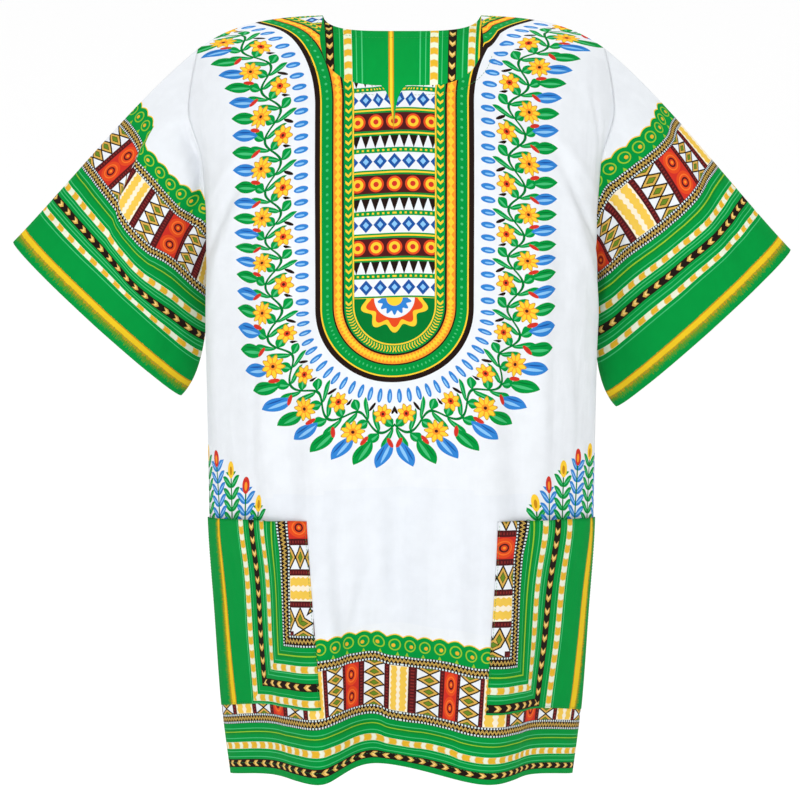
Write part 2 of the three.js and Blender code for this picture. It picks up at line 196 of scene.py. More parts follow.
def through(values, t, steady):
    """A smooth curve through evenly spaced rows of values, at places t."""
    values = np.asarray(values, float)
    last = len(values) - 1
    i = np.clip(np.floor(t).astype(int), 0, last - 1)
    f = (t - i)[:, None]
    steps = np.diff(values, axis=0)
    step, before, after = steps[i], steps[np.maximum(i - 1, 0)], steps[np.minimum(i + 1, last - 1)]

    def slope(a, b):
        if not steady:
            return (a + b) / 2
        total = np.where(a + b == 0, 1, a + b)
        return np.where(a * b <= 0, 0, 2 * a * b / total)

    m, n = slope(before, step), slope(step, after)
    return values[i] + (f**3 - 2 * f**2 + f) * m + (3 * f**2 - 2 * f**3) * step + (f**3 - f**2) * n


def unit(vectors):
    return vectors / np.maximum(np.linalg.norm(vectors, axis=-1, keepdims=True), 1e-12)


def smooth(low, high, x):
    f = np.clip((x - low) / (high - low), 0, 1)
    return f * f * (3 - 2 * f)


class Panel:
    """One panel's surface, sampled on a lattice of across (-1 to 1) and down (0 to HEM)."""

    def __init__(self, rows, facing, creases):
        self.downs = np.linspace(0, HEM, DOWN_SAMPLES)
        self.acrosses = np.linspace(-1, 1, ACROSS_SAMPLES)
        table = through(rows, self.downs, True)
        row = dict(zip(COLUMNS, table.T))
        points = np.zeros((len(self.downs), len(self.acrosses), 3))
        self.half = np.zeros(len(self.downs))
        names = ["edge", "side", "flank", "fold"]
        for k in range(len(self.downs)):
            xs = [row[n + "X"][k] for n in names]
            ys = [row[n + "Y"][k] for n in names]
            knots = np.array([[-x for x in xs] + [row["centreX"][k]] + xs[::-1],
                              ys + [row["centreY"][k]] + ys[::-1]]).T
            line = through(knots, np.linspace(0, len(knots) - 1, LINE_SAMPLES), False)
            lengths = np.concatenate([[0], np.cumsum(np.hypot(*np.diff(line, axis=0).T))])
            self.half[k] = lengths[-1] / 2
            wanted = (1 + self.acrosses) * self.half[k]
            points[k, :, 0] = np.interp(wanted, lengths, line[:, 0])
            points[k, :, 1] = np.interp(wanted, lengths, line[:, 1])
            fall = row["edgeZ"][k] - row["centreZ"][k]
            points[k, :, 2] = row["centreZ"][k] + fall * np.abs(self.acrosses) ** row["drop"][k]
        self.points = points
        steps = np.linalg.norm(np.diff(points, axis=0), axis=2)
        above = np.cumsum(steps[::-1], axis=0)[::-1]
        self.above = np.concatenate([above, np.zeros((1, above.shape[1]))])
        turn = np.cross(np.gradient(points, axis=1), np.gradient(points, axis=0))
        self.normals = facing * unit(turn)
        self.creases = creases

    def sample(self, field, across, down):
        j = np.clip(down / HEM * (len(self.downs) - 1), 0, len(self.downs) - 1 - 1e-9)
        i = np.clip((across + 1) / 2 * (len(self.acrosses) - 1), 0, len(self.acrosses) - 1 - 1e-9)
        j0, i0 = j.astype(int), i.astype(int)
        fj, fi = j - j0, i - i0
        if field.ndim == 1:
            return field[j0] * (1 - fj) + field[j0 + 1] * fj
        if field.ndim == 3:
            fj, fi = fj[..., None], fi[..., None]
        high = field[j0, i0] * (1 - fi) + field[j0, i0 + 1] * fi
        low = field[j0 + 1, i0] * (1 - fi) + field[j0 + 1, i0 + 1] * fi
        return high * (1 - fj) + low * fj

    def surface(self, across, down):
        """Points and normals with creases, and flat coordinates: x, and length above the hem."""
        points = self.sample(self.points, across, down)
        normals = unit(self.sample(self.normals, across, down))
        half = self.sample(self.half, across, down)
        flat = np.stack([across * half, self.sample(self.above, across, down)], axis=-1)
        length = self.above[0, ACROSS_SAMPLES // 2]
        fade = smooth(*SEAM_FADE, half - np.abs(flat[..., 0])) * smooth(*RIDGE_FADE, length - flat[..., 1])
        relief = relief_of(self.creases, flat[..., 0], flat[..., 1]) * fade
        return points + normals * relief[..., None], normals, flat


# Creases as soft troughs (negative depth) and ridges: x and up are the middle of each in
# the cloth's own flat coordinates, lean is from upright, clockwise.
CREASE_COLUMNS = ["x", "up", "lean", "length", "width", "depth"]
FRONT_CREASES = [
    [-113, 360, 1, 260, 15, -6.8],
    [-84, 330, -2, 230, 13, 2.4],
    [-142, 390, 5, 210, 12, 2.2],
    [114, 372, -2, 280, 16, -7.2],
    [84, 330, 2, 240, 13, 2.6],
    [144, 420, -4, 240, 12, 2.6],
    [-158, 350, 3, 150, 7, -1.4],
    [-184, 420, 5, 170, 8, 1.3],
    [160, 380, -3, 170, 7, -1.6],
    [181, 450, -4, 160, 7, 1.5],
    [203, 340, -3, 150, 8, -1.4],
    [206, 716, -28, 36, 4.5, -3.0],
    [217, 702, -26, 32, 4, 2.2],
    [195, 731, -24, 32, 4.5, 1.8],
    [-3, 225, 1, 130, 11, -6.0],
    [-66, 200, -3, 110, 9, -5.4],
    [-44, 185, 14, 70, 6, -3.4],
    [-24, 250, -2, 130, 9, 2.6],
    [60, 195, -3, 115, 10, -5.6],
    [30, 235, 3, 120, 9, 2.8],
    [82, 200, 1, 90, 6, 2.4],
    [-170, 500, 12, 190, 14, -2.4],
    [172, 520, -10, 200, 15, -2.6],
    [-196, 560, 24, 120, 9, 2.0],
    [199, 566, -26, 130, 9, 2.2],
    [-188, 610, 38, 110, 8, -2.6],
    [190, 620, -40, 115, 8, -2.8],
    [-176, 660, 56, 80, 7, 1.6],
    [180, 664, -58, 84, 7, 1.6],
    [-215, 430, 4, 150, 12, 1.8],
    [220, 400, -5, 170, 12, -1.8],
    [12, 560, 3, 160, 16, -1.4],
    [-48, 640, -8, 110, 12, 1.1],
    [58, 610, 9, 120, 12, 1.0],
    [96, 120, 3, 150, 12, -2.0],
    [-92, 110, -4, 140, 12, -1.8],
    [150, 90, 6, 120, 11, 1.4],
    [-150, 95, -3, 130, 11, 1.4],
]
BACK_CREASES = [
    [-96, 300, 3, 300, 18, -4.2],
    [90, 330, -2, 320, 18, -4.4],
    [-50, 260, -3, 230, 14, 2.2],
    [44, 240, 4, 200, 14, 2.0],
    [0, 420, 1, 260, 22, -2.0],
    [-150, 470, 9, 220, 14, 2.2],
    [152, 500, -9, 220, 14, -2.4],
    [-176, 600, 35, 120, 9, -2.4],
    [178, 612, -38, 120, 9, -2.4],
    [-40, 640, -20, 140, 14, 1.4],
    [46, 650, 24, 140, 14, 1.4],
]


CREASE_BOW = 0.06
CREASE_TURNS = 2.2


def relief_of(creases, x, up):
    """How far creases raise the cloth: each tapers to its ends and bows a little."""
    total = np.zeros_like(x)
    for crease in creases:
        row = dict(zip(CREASE_COLUMNS, crease))
        lean = math.radians(row["lean"])
        dx, dz = x - row["x"], up - row["up"]
        along = dx * math.sin(lean) + dz * math.cos(lean)
        beside = dx * math.cos(lean) - dz * math.sin(lean)
        taper = np.clip(1 - (along / row["length"]) ** 2, 0, 1) ** 1.5
        beside -= CREASE_BOW * along * np.sin(along / row["length"] * CREASE_TURNS)
        total += row["depth"] * taper * np.exp(-((beside / row["width"]) ** 2))
    return total


front = Panel(FRONT_ROWS, -1, FRONT_CREASES)
back = Panel(BACK_ROWS, 1, BACK_CREASES)


# ---- mesh building
BAKE_MARGIN = 0.01


def one_slot(x, up):
    return x * 0


def build(name, points, flats, cells, materials, slot_of=one_slot, thickness=CLOTH):
    """A cloth shell from points (mm) with flat coordinates (mm), as one object."""
    mesh = bpy.data.meshes.new(name)
    mesh.from_pydata((points * MM).tolist(), [], cells.tolist())
    for material in materials:
        mesh.materials.append(material)
    corner = cells.ravel()
    low, high = flats.min(axis=0), flats.max(axis=0)
    shares = BAKE_MARGIN + (1 - 2 * BAKE_MARGIN) * (flats - low) / (high - low)
    for layer, places in (("flat", flats * MM), ("OFBake", shares)):
        mesh.uv_layers.new(name=layer).data.foreach_set("uv", places[corner].ravel())
    middles = flats[cells].mean(axis=1)
    mesh.polygons.foreach_set("material_index", slot_of(middles[:, 0], middles[:, 1]).astype(int))
    mesh.polygons.foreach_set("use_smooth", np.ones(len(cells), bool))
    mesh.update()
    piece = add_object(name, mesh)
    solidify = piece.modifiers.new("cloth", "SOLIDIFY")
    solidify.thickness = thickness
    solidify.offset = 0
    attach(piece, "root")
    return piece


def grid_cells(rows, columns, outward=True):
    j, i = np.meshgrid(np.arange(rows - 1), np.arange(columns - 1), indexing="ij")
    a = (j * columns + i).ravel()
    quads = np.stack([a, a + columns, a + columns + 1, a + 1], axis=1)
    return quads if outward else quads[:, ::-1]


BISECTIONS = 30


def neckline(panel, across, neck_drop):
    """How many rows down the neckline lies at each place across."""
    out = np.minimum(np.abs(across) / NECK_SHARE, 1)
    wanted = -neck_drop * np.sqrt(1 - out**4)
    low, high = np.zeros_like(across), np.full_like(across, CHEST_ROW)
    for _ in range(BISECTIONS):
        middle = (low + high) / 2
        above = panel.sample(panel.points, across, middle)[:, 2] > wanted
        low, high = np.where(above, middle, low), np.where(above, high, middle)
    return np.maximum(low, RIDGE_GAP)


NECK_CELLS = 48
SLIT_HEM_CELLS = 4
SHOULDER_CELLS = 32
YOKE_CELLS = 56
LOWER_CELLS = 152


def panel_places(panel, neck_drop):
    """Places across and down of a panel's grid, its columns fanned out from the neck."""
    half = NECK_CELLS + SHOULDER_CELLS
    k = np.abs(np.arange(-half, half + 1))
    side = np.sign(np.arange(-half, half + 1))
    neck = NECK_SHARE * np.sin(np.pi / 2 * np.minimum(k / NECK_CELLS, 1))
    top = neck + (1 - NECK_SHARE) * np.maximum(k - NECK_CELLS, 0) / SHOULDER_CELLS
    shift = SLIT_X / RIDGE_HALF_WIDTH * (1 - top) ** 2
    top_down = neckline(panel, side * top + shift, neck_drop)
    j = np.arange(YOKE_CELLS)[:, None] / YOKE_CELLS
    upper = top_down + (CHEST_ROW - top_down) * j**1.15
    lower = np.linspace(CHEST_ROW, HEM, LOWER_CELLS + 1)[:, None] + 0 * top_down
    down = np.concatenate([upper, lower])
    f = np.minimum((down - top_down) / (CHEST_ROW - top_down), 1)
    plain = top + (k / half - top) * f
    shift = SLIT_X / panel.sample(panel.half, plain, down) * (1 - plain) ** 2
    across = SEAM_SHARE * side * plain + shift
    return across, down


def open_slit(points, columns):
    """Parts the cloth at the middle column above the slit's foot.

    Gives the moved points, the slit's other edge and how many rows it parts.
    """
    middle = columns // 2
    grid = points.reshape(-1, columns, 3)
    foot = -(FRONT_NECK_DROP + SLIT_DEPTH)
    height = np.clip((grid[:, middle, 2] - foot) / SLIT_DEPTH, 0, 1)[:, None]
    width = SLIT_WIDTH * height + SLIT_FLARE * height**5
    away = np.abs(grid[:, :, 0] - grid[:, middle : middle + 1, 0])
    side = np.sign(np.arange(columns) - middle)
    side[middle] = -1
    moved = grid.copy()
    moved[:, :, 0] += side * width * np.exp(-((away / SLIT_REACH) ** 2))
    parted = int((height[:, 0] > 0).sum())
    right = grid[:parted, middle].copy()
    right[:, 0] += width[:parted, 0]
    return moved.reshape(-1, 3), right, parted


def panel_piece(name, panel, neck_drop, materials, slot_of, slit):
    across, down = panel_places(panel, neck_drop)
    rows, columns = across.shape
    points, normals, flats = panel.surface(across, down)
    points, flats = points.reshape(-1, 3), flats.reshape(-1, 2)
    cells = grid_cells(rows, columns, outward=panel is front)
    if slit:
        points, right, parted = open_slit(points, columns)
        middle = columns // 2
        old = np.arange(parted) * columns + middle
        renamed = np.arange(len(points))
        renamed[old] = len(points) + np.arange(parted)
        past_slit = np.tile(np.arange(columns - 1) == middle, rows - 1)
        cells[past_slit] = renamed[cells[past_slit]]
        points = np.concatenate([points, right])
        flats = np.concatenate([flats, flats[old]])
    piece = build(name, points, flats, cells, materials, slot_of)
    return piece, points[: rows * columns].reshape(rows, columns, 3), normals


# ---- sleeves
SLEEVE_CELLS_ROUND = 168
SLEEVE_CELLS_ALONG = 84
ARMHOLE_SAMPLES = 240
UNDERARM_SHARE = 0.4995
SLEEVE_FADE = (0, 6)  # creases fade out this far from the armhole
UNDERARM_FADE = (0, 40)  # and from the underarm seam
UNDERARM_X = 260


def armhole():
    """The panels' armhole edge on the +X side as a closed line of points."""
    downs = np.linspace(RIDGE_GAP, ARMPIT_ROW, ARMHOLE_SAMPLES)
    edge = np.ones_like(downs)
    lines = []
    for panel, order in ((front, 1), (back, -1)):
        points, _, _ = panel.surface(edge, downs)
        lines.append(points[::order])
    points = np.concatenate(lines)
    steps = np.linalg.norm(np.diff(points, axis=0, append=points[:1]), axis=1)
    shares = np.concatenate([[0], np.cumsum(steps)]) / steps.sum()
    return shares, np.concatenate([points, points[:1]])


def along_ring(shares, values, wanted):
    return np.stack([np.interp(wanted % 1, shares, values[:, c]) for c in range(3)], axis=-1)


def sleeve_grid(cuff):
    """A sleeve's points (mm) on the +X side, and its flat coordinates: round, above the cuff."""
    shares, ring = armhole()
    share = np.linspace(UNDERARM_SHARE, -UNDERARM_SHARE, SLEEVE_CELLS_ROUND + 1)
    begin = along_ring(shares, ring, share)
    quarter = (share % 1) * 4
    i = np.minimum(quarter.astype(int), 3)
    ease = smooth(0, 1, quarter - i)[:, None]
    out = SLEEVE_LEAVES[i] * (1 - ease) + SLEEVE_LEAVES[i + 1] * ease
    low = (1 - np.cos(2 * np.pi * share))[:, None] / 2
    begin = begin + unit(out) * SLEEVE_GAP
    top, bottom = np.array(cuff[0], float), np.array(cuff[1], float)
    end = (top + bottom) / 2 + (top - bottom) / 2 * np.cos(2 * np.pi * share)[:, None]
    end[:, 1] -= CUFF_HALF_DEPTH * np.sin(2 * np.pi * share)
    axis = unit(np.array([top[2] - bottom[2], 0, bottom[0] - top[0]]))
    pull = SLEEVE_ARRIVES[0] + (SLEEVE_ARRIVES[1] - SLEEVE_ARRIVES[0]) * low
    s = np.linspace(0, 1, SLEEVE_CELLS_ALONG + 1)[:, None, None]
    points = (begin * (2 * s**3 - 3 * s**2 + 1) + out * (s**3 - 2 * s**2 + s)
              + end * (3 * s**2 - 2 * s**3) + axis * pull * (s**3 - s**2))
    round_steps = np.linalg.norm(np.diff(points, axis=1), axis=2)
    round_length = np.concatenate([np.zeros((len(points), 1)), np.cumsum(round_steps, axis=1)], axis=1)
    quarter_way = SLEEVE_CELLS_ROUND // 4
    round_length -= round_length[:, quarter_way : quarter_way + 1]
    along_steps = np.linalg.norm(np.diff(points, axis=0), axis=2)
    above = np.concatenate([np.cumsum(along_steps[::-1], axis=0)[::-1], np.zeros((1, points.shape[1]))])
    return points, np.stack([round_length, above], axis=-1)


SLEEVE_CREASES = {
    "right": [
        [0, 203, 71, 62, 10, -14.0],
        [-30, 180, 30, 80, 9, -2.6],
        [20, 205, 14, 90, 9, 2.0],
        [-62, 170, 40, 110, 9, 2.0],
        [55, 120, 4, 120, 12, 2.0],
        [96, 100, -3, 110, 12, -2.4],
        [-5, 60, 3, 80, 16, 1.6],
        [-80, 60, 8, 80, 12, -1.6],
        [190, 120, 4, 120, 14, -2.2],
        [260, 120, -6, 120, 14, 2.2],
    ],
    "left": [
        [2, 212, 66, 50, 8, -3.4],
        [-28, 190, 26, 90, 9, -2.6],
        [24, 200, 10, 100, 9, 2.2],
        [-64, 160, 40, 110, 9, 2.0],
        [84, 80, 8, 90, 9, -3.0],
        [62, 90, 6, 100, 12, 2.0],
        [0, 70, 3, 90, 16, 1.4],
        [-90, 60, 8, 80, 12, -1.6],
        [190, 110, 4, 120, 14, -2.2],
        [260, 130, -6, 120, 14, 2.2],
    ],
}


def sleeve_piece(side, materials):
    points, flats = sleeve_grid(CUFFS[side])
    turn = unit(np.cross(np.gradient(points, axis=1), np.gradient(points, axis=0)))
    length = flats[0, :, 1]
    fade = smooth(*SLEEVE_FADE, length - flats[..., 1])
    fade = fade * smooth(*UNDERARM_FADE, UNDERARM_X - np.abs(flats[..., 0]))
    relief = relief_of(SLEEVE_CREASES[side], flats[..., 0], flats[..., 1]) * fade
    outwards = np.sign((turn * (points - points.mean(axis=1, keepdims=True))).sum())
    points = points + turn * outwards * relief[..., None]
    normals = turn * outwards
    if side == "right":
        points, normals = points * [-1, 1, 1], normals * [-1, 1, 1]
    rows, columns = points.shape[:2]
    cells = grid_cells(rows, columns, outward=(outwards > 0) == (side == "right"))
    name = "sleeve_" + side + "_shell"
    piece = build(name, points.reshape(-1, 3), flats.reshape(-1, 2), cells, materials)
    return piece, points, normals


# ---- pockets
POCKET_CELLS = (44, 54)
POCKET_CLOTH = 0.8 * MM
POCKET_LIFT = 1.15
POCKET_GAPE = 4.5


def pocket_surface(sign, aside, drop):
    """Points on a pocket: aside from its inner edge and drop from its top, as shares."""
    side = "left" if sign > 0 else "right"
    half = float(front.sample(front.half, np.zeros(1), np.full(1, POCKET_FOOT_ROW))[0])
    top, foot = POCKET_LEAN[side]
    inner = (POCKET_REACH[0] + top + (foot - top) * drop) / half
    outer = POCKET_REACH[1] / half
    across = sign * (inner + (outer - inner) * aside)
    begin, end = POCKET_ROWS[side]
    points, normals, _ = front.surface(across, begin + (end - begin) * drop)
    gape = POCKET_GAPE * (4 * aside * (1 - aside)) ** 0.8 * np.exp(-((drop / 0.2) ** 2))
    return points + normals * (POCKET_LIFT + gape)[..., None], normals


def pocket_piece(name, sign, materials):
    columns, rows = POCKET_CELLS
    shares = (np.linspace(0, 1, rows + 1), np.linspace(0, 1, columns + 1))
    drop, aside = np.meshgrid(*shares, indexing="ij")
    points, normals = pocket_surface(sign, aside, drop)
    width = POCKET_REACH[1] - POCKET_REACH[0]
    fall = np.linalg.norm(np.diff(points, axis=0), axis=2)
    above = np.concatenate([np.cumsum(fall[::-1], axis=0)[::-1], np.zeros((1, columns + 1))])
    flats = np.stack([width * (1 - aside), above], axis=-1)
    cells = grid_cells(rows + 1, columns + 1, outward=sign > 0)
    flat_points = points.reshape(-1, 3)
    piece = build(name, flat_points, flats.reshape(-1, 2), cells, materials, thickness=POCKET_CLOTH)
    return piece, points, normals


# ---- stitching
def inset_line(grid, normals, inset):
    """A line, as points and normals, at an even inset from the first row of a grid."""
    steps = np.linalg.norm(np.diff(grid, axis=0), axis=2)
    lengths = np.concatenate([np.zeros((1, grid.shape[1])), np.cumsum(steps, axis=0)])
    edge = unit(np.gradient(grid[0], axis=0))
    inward = unit(grid[1] - grid[0])
    slant = np.maximum(np.linalg.norm(np.cross(edge, inward), axis=1), LEAST_SLANT)

    def at_inset(values, c):
        return [np.interp(inset / slant[c], lengths[:, c], values[:, c, axis]) for axis in range(3)]

    places = range(1, grid.shape[1] - 1)
    return np.array([at_inset(grid, c) for c in places]), np.array([at_inset(normals, c) for c in places])


def neck_seams(grid, normals, inset, slit):
    """The seam round a panel's neck, in two lines if a slit parts it."""
    middle = grid.shape[1] // 2
    spans = [(-NECK_CELLS, NECK_CELLS + 1)]
    if slit:
        spans = [(-NECK_CELLS, -SLIT_HEM_CELLS), (SLIT_HEM_CELLS + 1, NECK_CELLS + 1)]
    return [inset_line(grid[:, middle + a : middle + b], normals[:, middle + a : middle + b], inset)
            for a, b in spans]


def outside(lines, lift=CLOTH / MM / 2):
    return [(points + normals * lift, normals) for points, normals in lines]


def inside(lines):
    return outside([(points, -normals) for points, normals in lines])


# Rings of a stitch: a place along it, a girth and a rise.
STITCH_RINGS = ((-0.5, 0.35, 0.1), (-0.25, 1.0, 0.9), (0.25, 1.0, 0.9), (0.5, 0.35, 0.1))
STITCH_SIDES = 5
LEAST_SLANT = 0.3


def one_stitch(middle, normal, along, length, thick):
    """The points of one stitch."""
    beside = np.cross(normal, along)
    points = []
    for place, girth, rise in STITCH_RINGS:
        for turn in range(STITCH_SIDES):
            angle = 2 * math.pi * turn / STITCH_SIDES
            spoke = (beside * math.cos(angle) + normal * math.sin(angle)) * thick * girth
            points.append(middle + along * place * length + normal * thick * (rise - 0.5) + spoke)
    return points


def stitch_faces():
    """The faces of one stitch, by its points' places."""
    last = len(STITCH_RINGS) - 1
    faces = []
    for ring in range(last):
        for turn in range(STITCH_SIDES):
            p = ring * STITCH_SIDES + turn
            q = ring * STITCH_SIDES + (turn + 1) % STITCH_SIDES
            faces.append([p, q, q + STITCH_SIDES, p + STITCH_SIDES])
    faces.append(list(reversed(range(STITCH_SIDES))))
    faces.append([last * STITCH_SIDES + turn for turn in range(STITCH_SIDES)])
    return faces


def stitches(name, lines, material, pitch=3.4, length=2.5, thick=0.22):
    """Rows of small thread stitches along lines of (points, normals), in millimetres."""
    shape = stitch_faces()
    vertices, faces = [], []
    for points, normals in lines:
        steps = np.linalg.norm(np.diff(points, axis=0), axis=1)
        lengths = np.concatenate([[0], np.cumsum(steps)])

        def at(values, places):
            return np.stack([np.interp(places, lengths, values[:, c]) for c in range(3)], axis=-1)

        places = np.arange(pitch / 2, lengths[-1], pitch)
        alongs = unit(at(points, places + 1) - at(points, places - 1))
        for middle, normal, along in zip(at(points, places), unit(at(normals, places)), alongs):
            faces += [[len(vertices) + place for place in face] for face in shape]
            vertices += one_stitch(middle, normal, along, length, thick)
    mesh = bpy.data.meshes.new(name)
    mesh.from_pydata((np.array(vertices) * MM).tolist(), [], faces)
    mesh.materials.append(material)
    mesh.polygons.foreach_set("use_smooth", np.ones(len(faces), bool))
    piece = add_object(name, mesh)
    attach(piece, "root")
    return piece


# ---- node arithmetic
def operator(operation, flipped=False):
    """A method that joins two numbers in a math node."""

    def joined(one, other):
        return calc(operation, other, one) if flipped else calc(operation, one, other)

    return joined


class Value:
    """A number in a material's node tree, with ordinary arithmetic."""

    tree = None
    __add__ = operator("ADD")
    __radd__ = operator("ADD", flipped=True)
    __sub__ = operator("SUBTRACT")
    __rsub__ = operator("SUBTRACT", flipped=True)
    __mul__ = operator("MULTIPLY")
    __rmul__ = operator("MULTIPLY", flipped=True)
    __truediv__ = operator("DIVIDE")
    __lt__ = operator("LESS_THAN")
    __gt__ = operator("GREATER_THAN")

    def __init__(self, socket):
        self.socket = socket

    def __abs__(self):
        return calc("ABSOLUTE", self)


def connect(value, socket):
    if isinstance(value, Value):
        Value.tree.links.new(value.socket, socket)
    elif isinstance(value, bpy.types.NodeSocket):
        Value.tree.links.new(value, socket)
    elif isinstance(value, tuple):
        socket.default_value = (*value, 1)
    else:
        socket.default_value = value


def calc(operation, *values):
    node = Value.tree.nodes.new("ShaderNodeMath")
    node.operation = operation
    for value, socket in zip(values, node.inputs):
        connect(value, socket)
    return Value(node.outputs[0])


def band(t, low, high):
    return calc("COMPARE", t, (low + high) / 2, (high - low) / 2)


def share(t, pitch):
    """How far t is through its pitch, from 0 to 1."""
    return calc("FRACT", t / pitch)


def centred(t, pitch):
    """How far t is from the middle of its pitch."""
    return (share(t, pitch) - 0.5) * pitch


def bounce(t, pitch):
    return calc("PINGPONG", t, pitch)


def length_of(u, v):
    return calc("SQRT", u * u + v * v)


def climb(value, low, high, rise=1.0, soft=False):
    """From 0 at low to rise at high, and steady beyond."""
    node = Value.tree.nodes.new("ShaderNodeMapRange")
    node.interpolation_type = "SMOOTHSTEP" if soft else "LINEAR"
    for name, source in {"Value": value, "From Min": low, "From Max": high, "To Max": rise}.items():
        connect(source, node.inputs[name])
    return Value(node.outputs[0])


def curve(t, rows):
    """A smooth curve of t through rows of (t, value)."""
    start, end = rows[0][0], rows[-1][0]
    low = min(value for _, value in rows)
    high = max(value for _, value in rows)
    node = Value.tree.nodes.new("ShaderNodeFloatCurve")
    points = node.mapping.curves[0].points
    points[0].location = (0, (rows[0][1] - low) / (high - low))
    points[1].location = (1, (rows[-1][1] - low) / (high - low))
    for place, value in rows[1:-1]:
        points.new((place - start) / (end - start), (value - low) / (high - low))
    node.mapping.update()
    connect((t - start) / (end - start), node.inputs["Value"])
    return Value(node.outputs[0]) * (high - low) + low


def paint(under, mask, over):
    node = Value.tree.nodes.new("ShaderNodeMix")
    node.data_type = "RGBA"
    connect(mask, node.inputs["Factor"])
    connect(under, node.inputs[6])
    connect(over, node.inputs[7])
    return node.outputs[2]


def layers(colour, *rows):
    """Inks laid over a colour, one after the other: rows of (mask, ink)."""
    for mask, tint in rows:
        colour = paint(colour, mask, tint)
    return colour


def within(area, rows):
    """Rows of (mask, ink), kept to an area."""
    return [(area * mask, tint) for mask, tint in rows]


STRIPES_REACH = 120.0


def stripes(t, rows):
    """Plain stripes along t, from 0 to STRIPES_REACH: rows of (start, colour)."""
    node = Value.tree.nodes.new("ShaderNodeValToRGB")
    ramp = node.color_ramp
    ramp.interpolation = "CONSTANT"
    for k, (start, colour) in enumerate(rows):
        if k > 1:
            ramp.elements.new(start / STRIPES_REACH)
        ramp.elements[k].position = start / STRIPES_REACH
        ramp.elements[k].color = (*colour, 1)
    connect(t / STRIPES_REACH, node.inputs[0])
    return node.outputs[0]


def noise(vector, scale, detail=2.0):
    node = Value.tree.nodes.new("ShaderNodeTexNoise")
    connect(vector, node.inputs["Vector"])
    node.inputs["Scale"].default_value = scale
    node.inputs["Detail"].default_value = detail
    return Value(node.outputs[0])


def place_of(x, y):
    node = Value.tree.nodes.new("ShaderNodeCombineXYZ")
    connect(x, node.inputs[0])
    connect(y, node.inputs[1])
    return node.outputs[0]


# ---- inks, as linear colours
def ink(red, green, blue):
    shares = (red / 255, green / 255, blue / 255)
    return tuple(c / 12.92 if c <= 0.04 else ((c + 0.055) / 1.055) ** 2.4 for c in shares)


WHITE = ink(222, 225, 229)
SHADED_WHITE = ink(214, 219, 227)
WARM_WHITE = ink(236, 224, 200)
CREAM = ink(220, 224, 202)
PEARL = ink(206, 218, 222)
GREEN = ink(0, 139, 57)
DEEP_GREEN = ink(0, 112, 44)
DIM_GREEN = ink(10, 128, 46)
PALE_GREEN = ink(66, 178, 112)
LIME = ink(140, 184, 44)
YELLOW = ink(240, 194, 50)
WAVE_YELLOW = ink(229, 188, 76)
DASH_YELLOW = ink(216, 168, 44)
LINE_YELLOW = ink(222, 186, 34)
GOLD = ink(204, 162, 76)
PALE_GOLD = ink(236, 200, 124)
STRIP_GOLD = ink(214, 176, 88)
OLIVE = ink(98, 138, 32)
OCHRE = ink(178, 142, 30)
DARK_ORANGE = ink(190, 130, 24)
ORANGE = ink(236, 140, 40)
EMBER = ink(230, 110, 40)
RED_ORANGE = ink(214, 70, 32)
RED = ink(196, 48, 36)
BEAD_RED = ink(124, 38, 36)
MAROON = ink(74, 24, 26)
BLACK = ink(32, 20, 16)
BLUE = ink(46, 122, 196)
DARK_BLUE = ink(30, 78, 150)
SKY = ink(130, 184, 226)
MOSS = ink(98, 128, 36)


# ---- printed motifs. t runs across a border from its edge and s along it, in millimetres
# A block is half of a mirrored repeat: waves, a bar, lozenges, a bar and medallions.
STRIP = 10.6
BLOCK_HEIGHT = 48.4
BLOCK_HALF = 52.0
WAVES_END = 11.0
LOZENGES = (16.5, 37.0)
MEDALS_START = 42.6
MEDAL_RADIUS = 8.6
DOT_PITCH = 3.4
BUD_PITCH = 18.0


def dashes(colour, t, s, centre, height=7.4, pitch=15.6):
    """Yellow dashes with soft ends, on a cream stripe."""
    v = abs(t - centre)
    away = abs(centred(s - v * 0.35, pitch))
    dash = climb(away, 5.2, 3.4, soft=True) * (v < height / 2 - 0.25)
    return layers(colour, (v < height / 2, CREAM), (dash, DASH_YELLOW))


def chevrons(colour, t, s, centre, height=8.8, pitch=14.5):
    """Gold arrowheads that point along s, on a black band."""
    v = abs(t - centre)
    along = share(s + v * 1.15, pitch)
    head = (along < 0.38) * (v < height / 2 - 1.2)
    gleam = band(along, 0.06, 0.2) * (v < height / 2 - 2.0)
    return layers(colour, (v < height / 2, BLACK), (head, GOLD), (gleam, PALE_GOLD))


def zigzag_strip(colour, t, s, low, height=STRIP):
    """A gold zigzag on black, between two rows of pale dots."""
    half = height / 2
    v = t - (low + half)
    dots = (share(s, DOT_PITCH) < 0.55) * band(abs(v), half - 2.3, half - 0.4)
    line = abs(v - (bounce(s, 2.2) * 1.5 - 1.65))
    colour = layers(colour, (abs(v) < half, BLACK), (dots, PEARL))
    return layers(colour, (line < 1.25, STRIP_GOLD), (line < 0.3, BLACK))


def lozenges(b, q, height):
    """A column of lozenges, one in the other."""
    half_width = (LOZENGES[1] - LOZENGES[0]) / 2
    half_height = height / 8
    lattice = abs(q - (LOZENGES[0] + half_width)) / half_width + bounce(b, half_height) / half_height
    column = band(q, *LOZENGES)
    rows = ((1.12, BLACK), (0.86, GOLD), (0.50, BLACK), (0.41, MOSS))
    return within(column, ((lattice < reach, tint) for reach, tint in rows))


def medallions(b, q, height):
    """Two ringed medallions on red."""
    column = q > MEDALS_START
    half = height / 4
    radius = length_of((BLOCK_HALF - q) / MEDAL_RADIUS, (half - bounce(b, half)) / (half * 0.97))
    rings = ((0, 1, RED_ORANGE), (0.60, 0.72, EMBER), (0.28, 0.44, MAROON), (0, 0.13, ORANGE))
    return [(column, RED)] + within(column, ((band(radius, low, high), tint) for low, high, tint in rings))


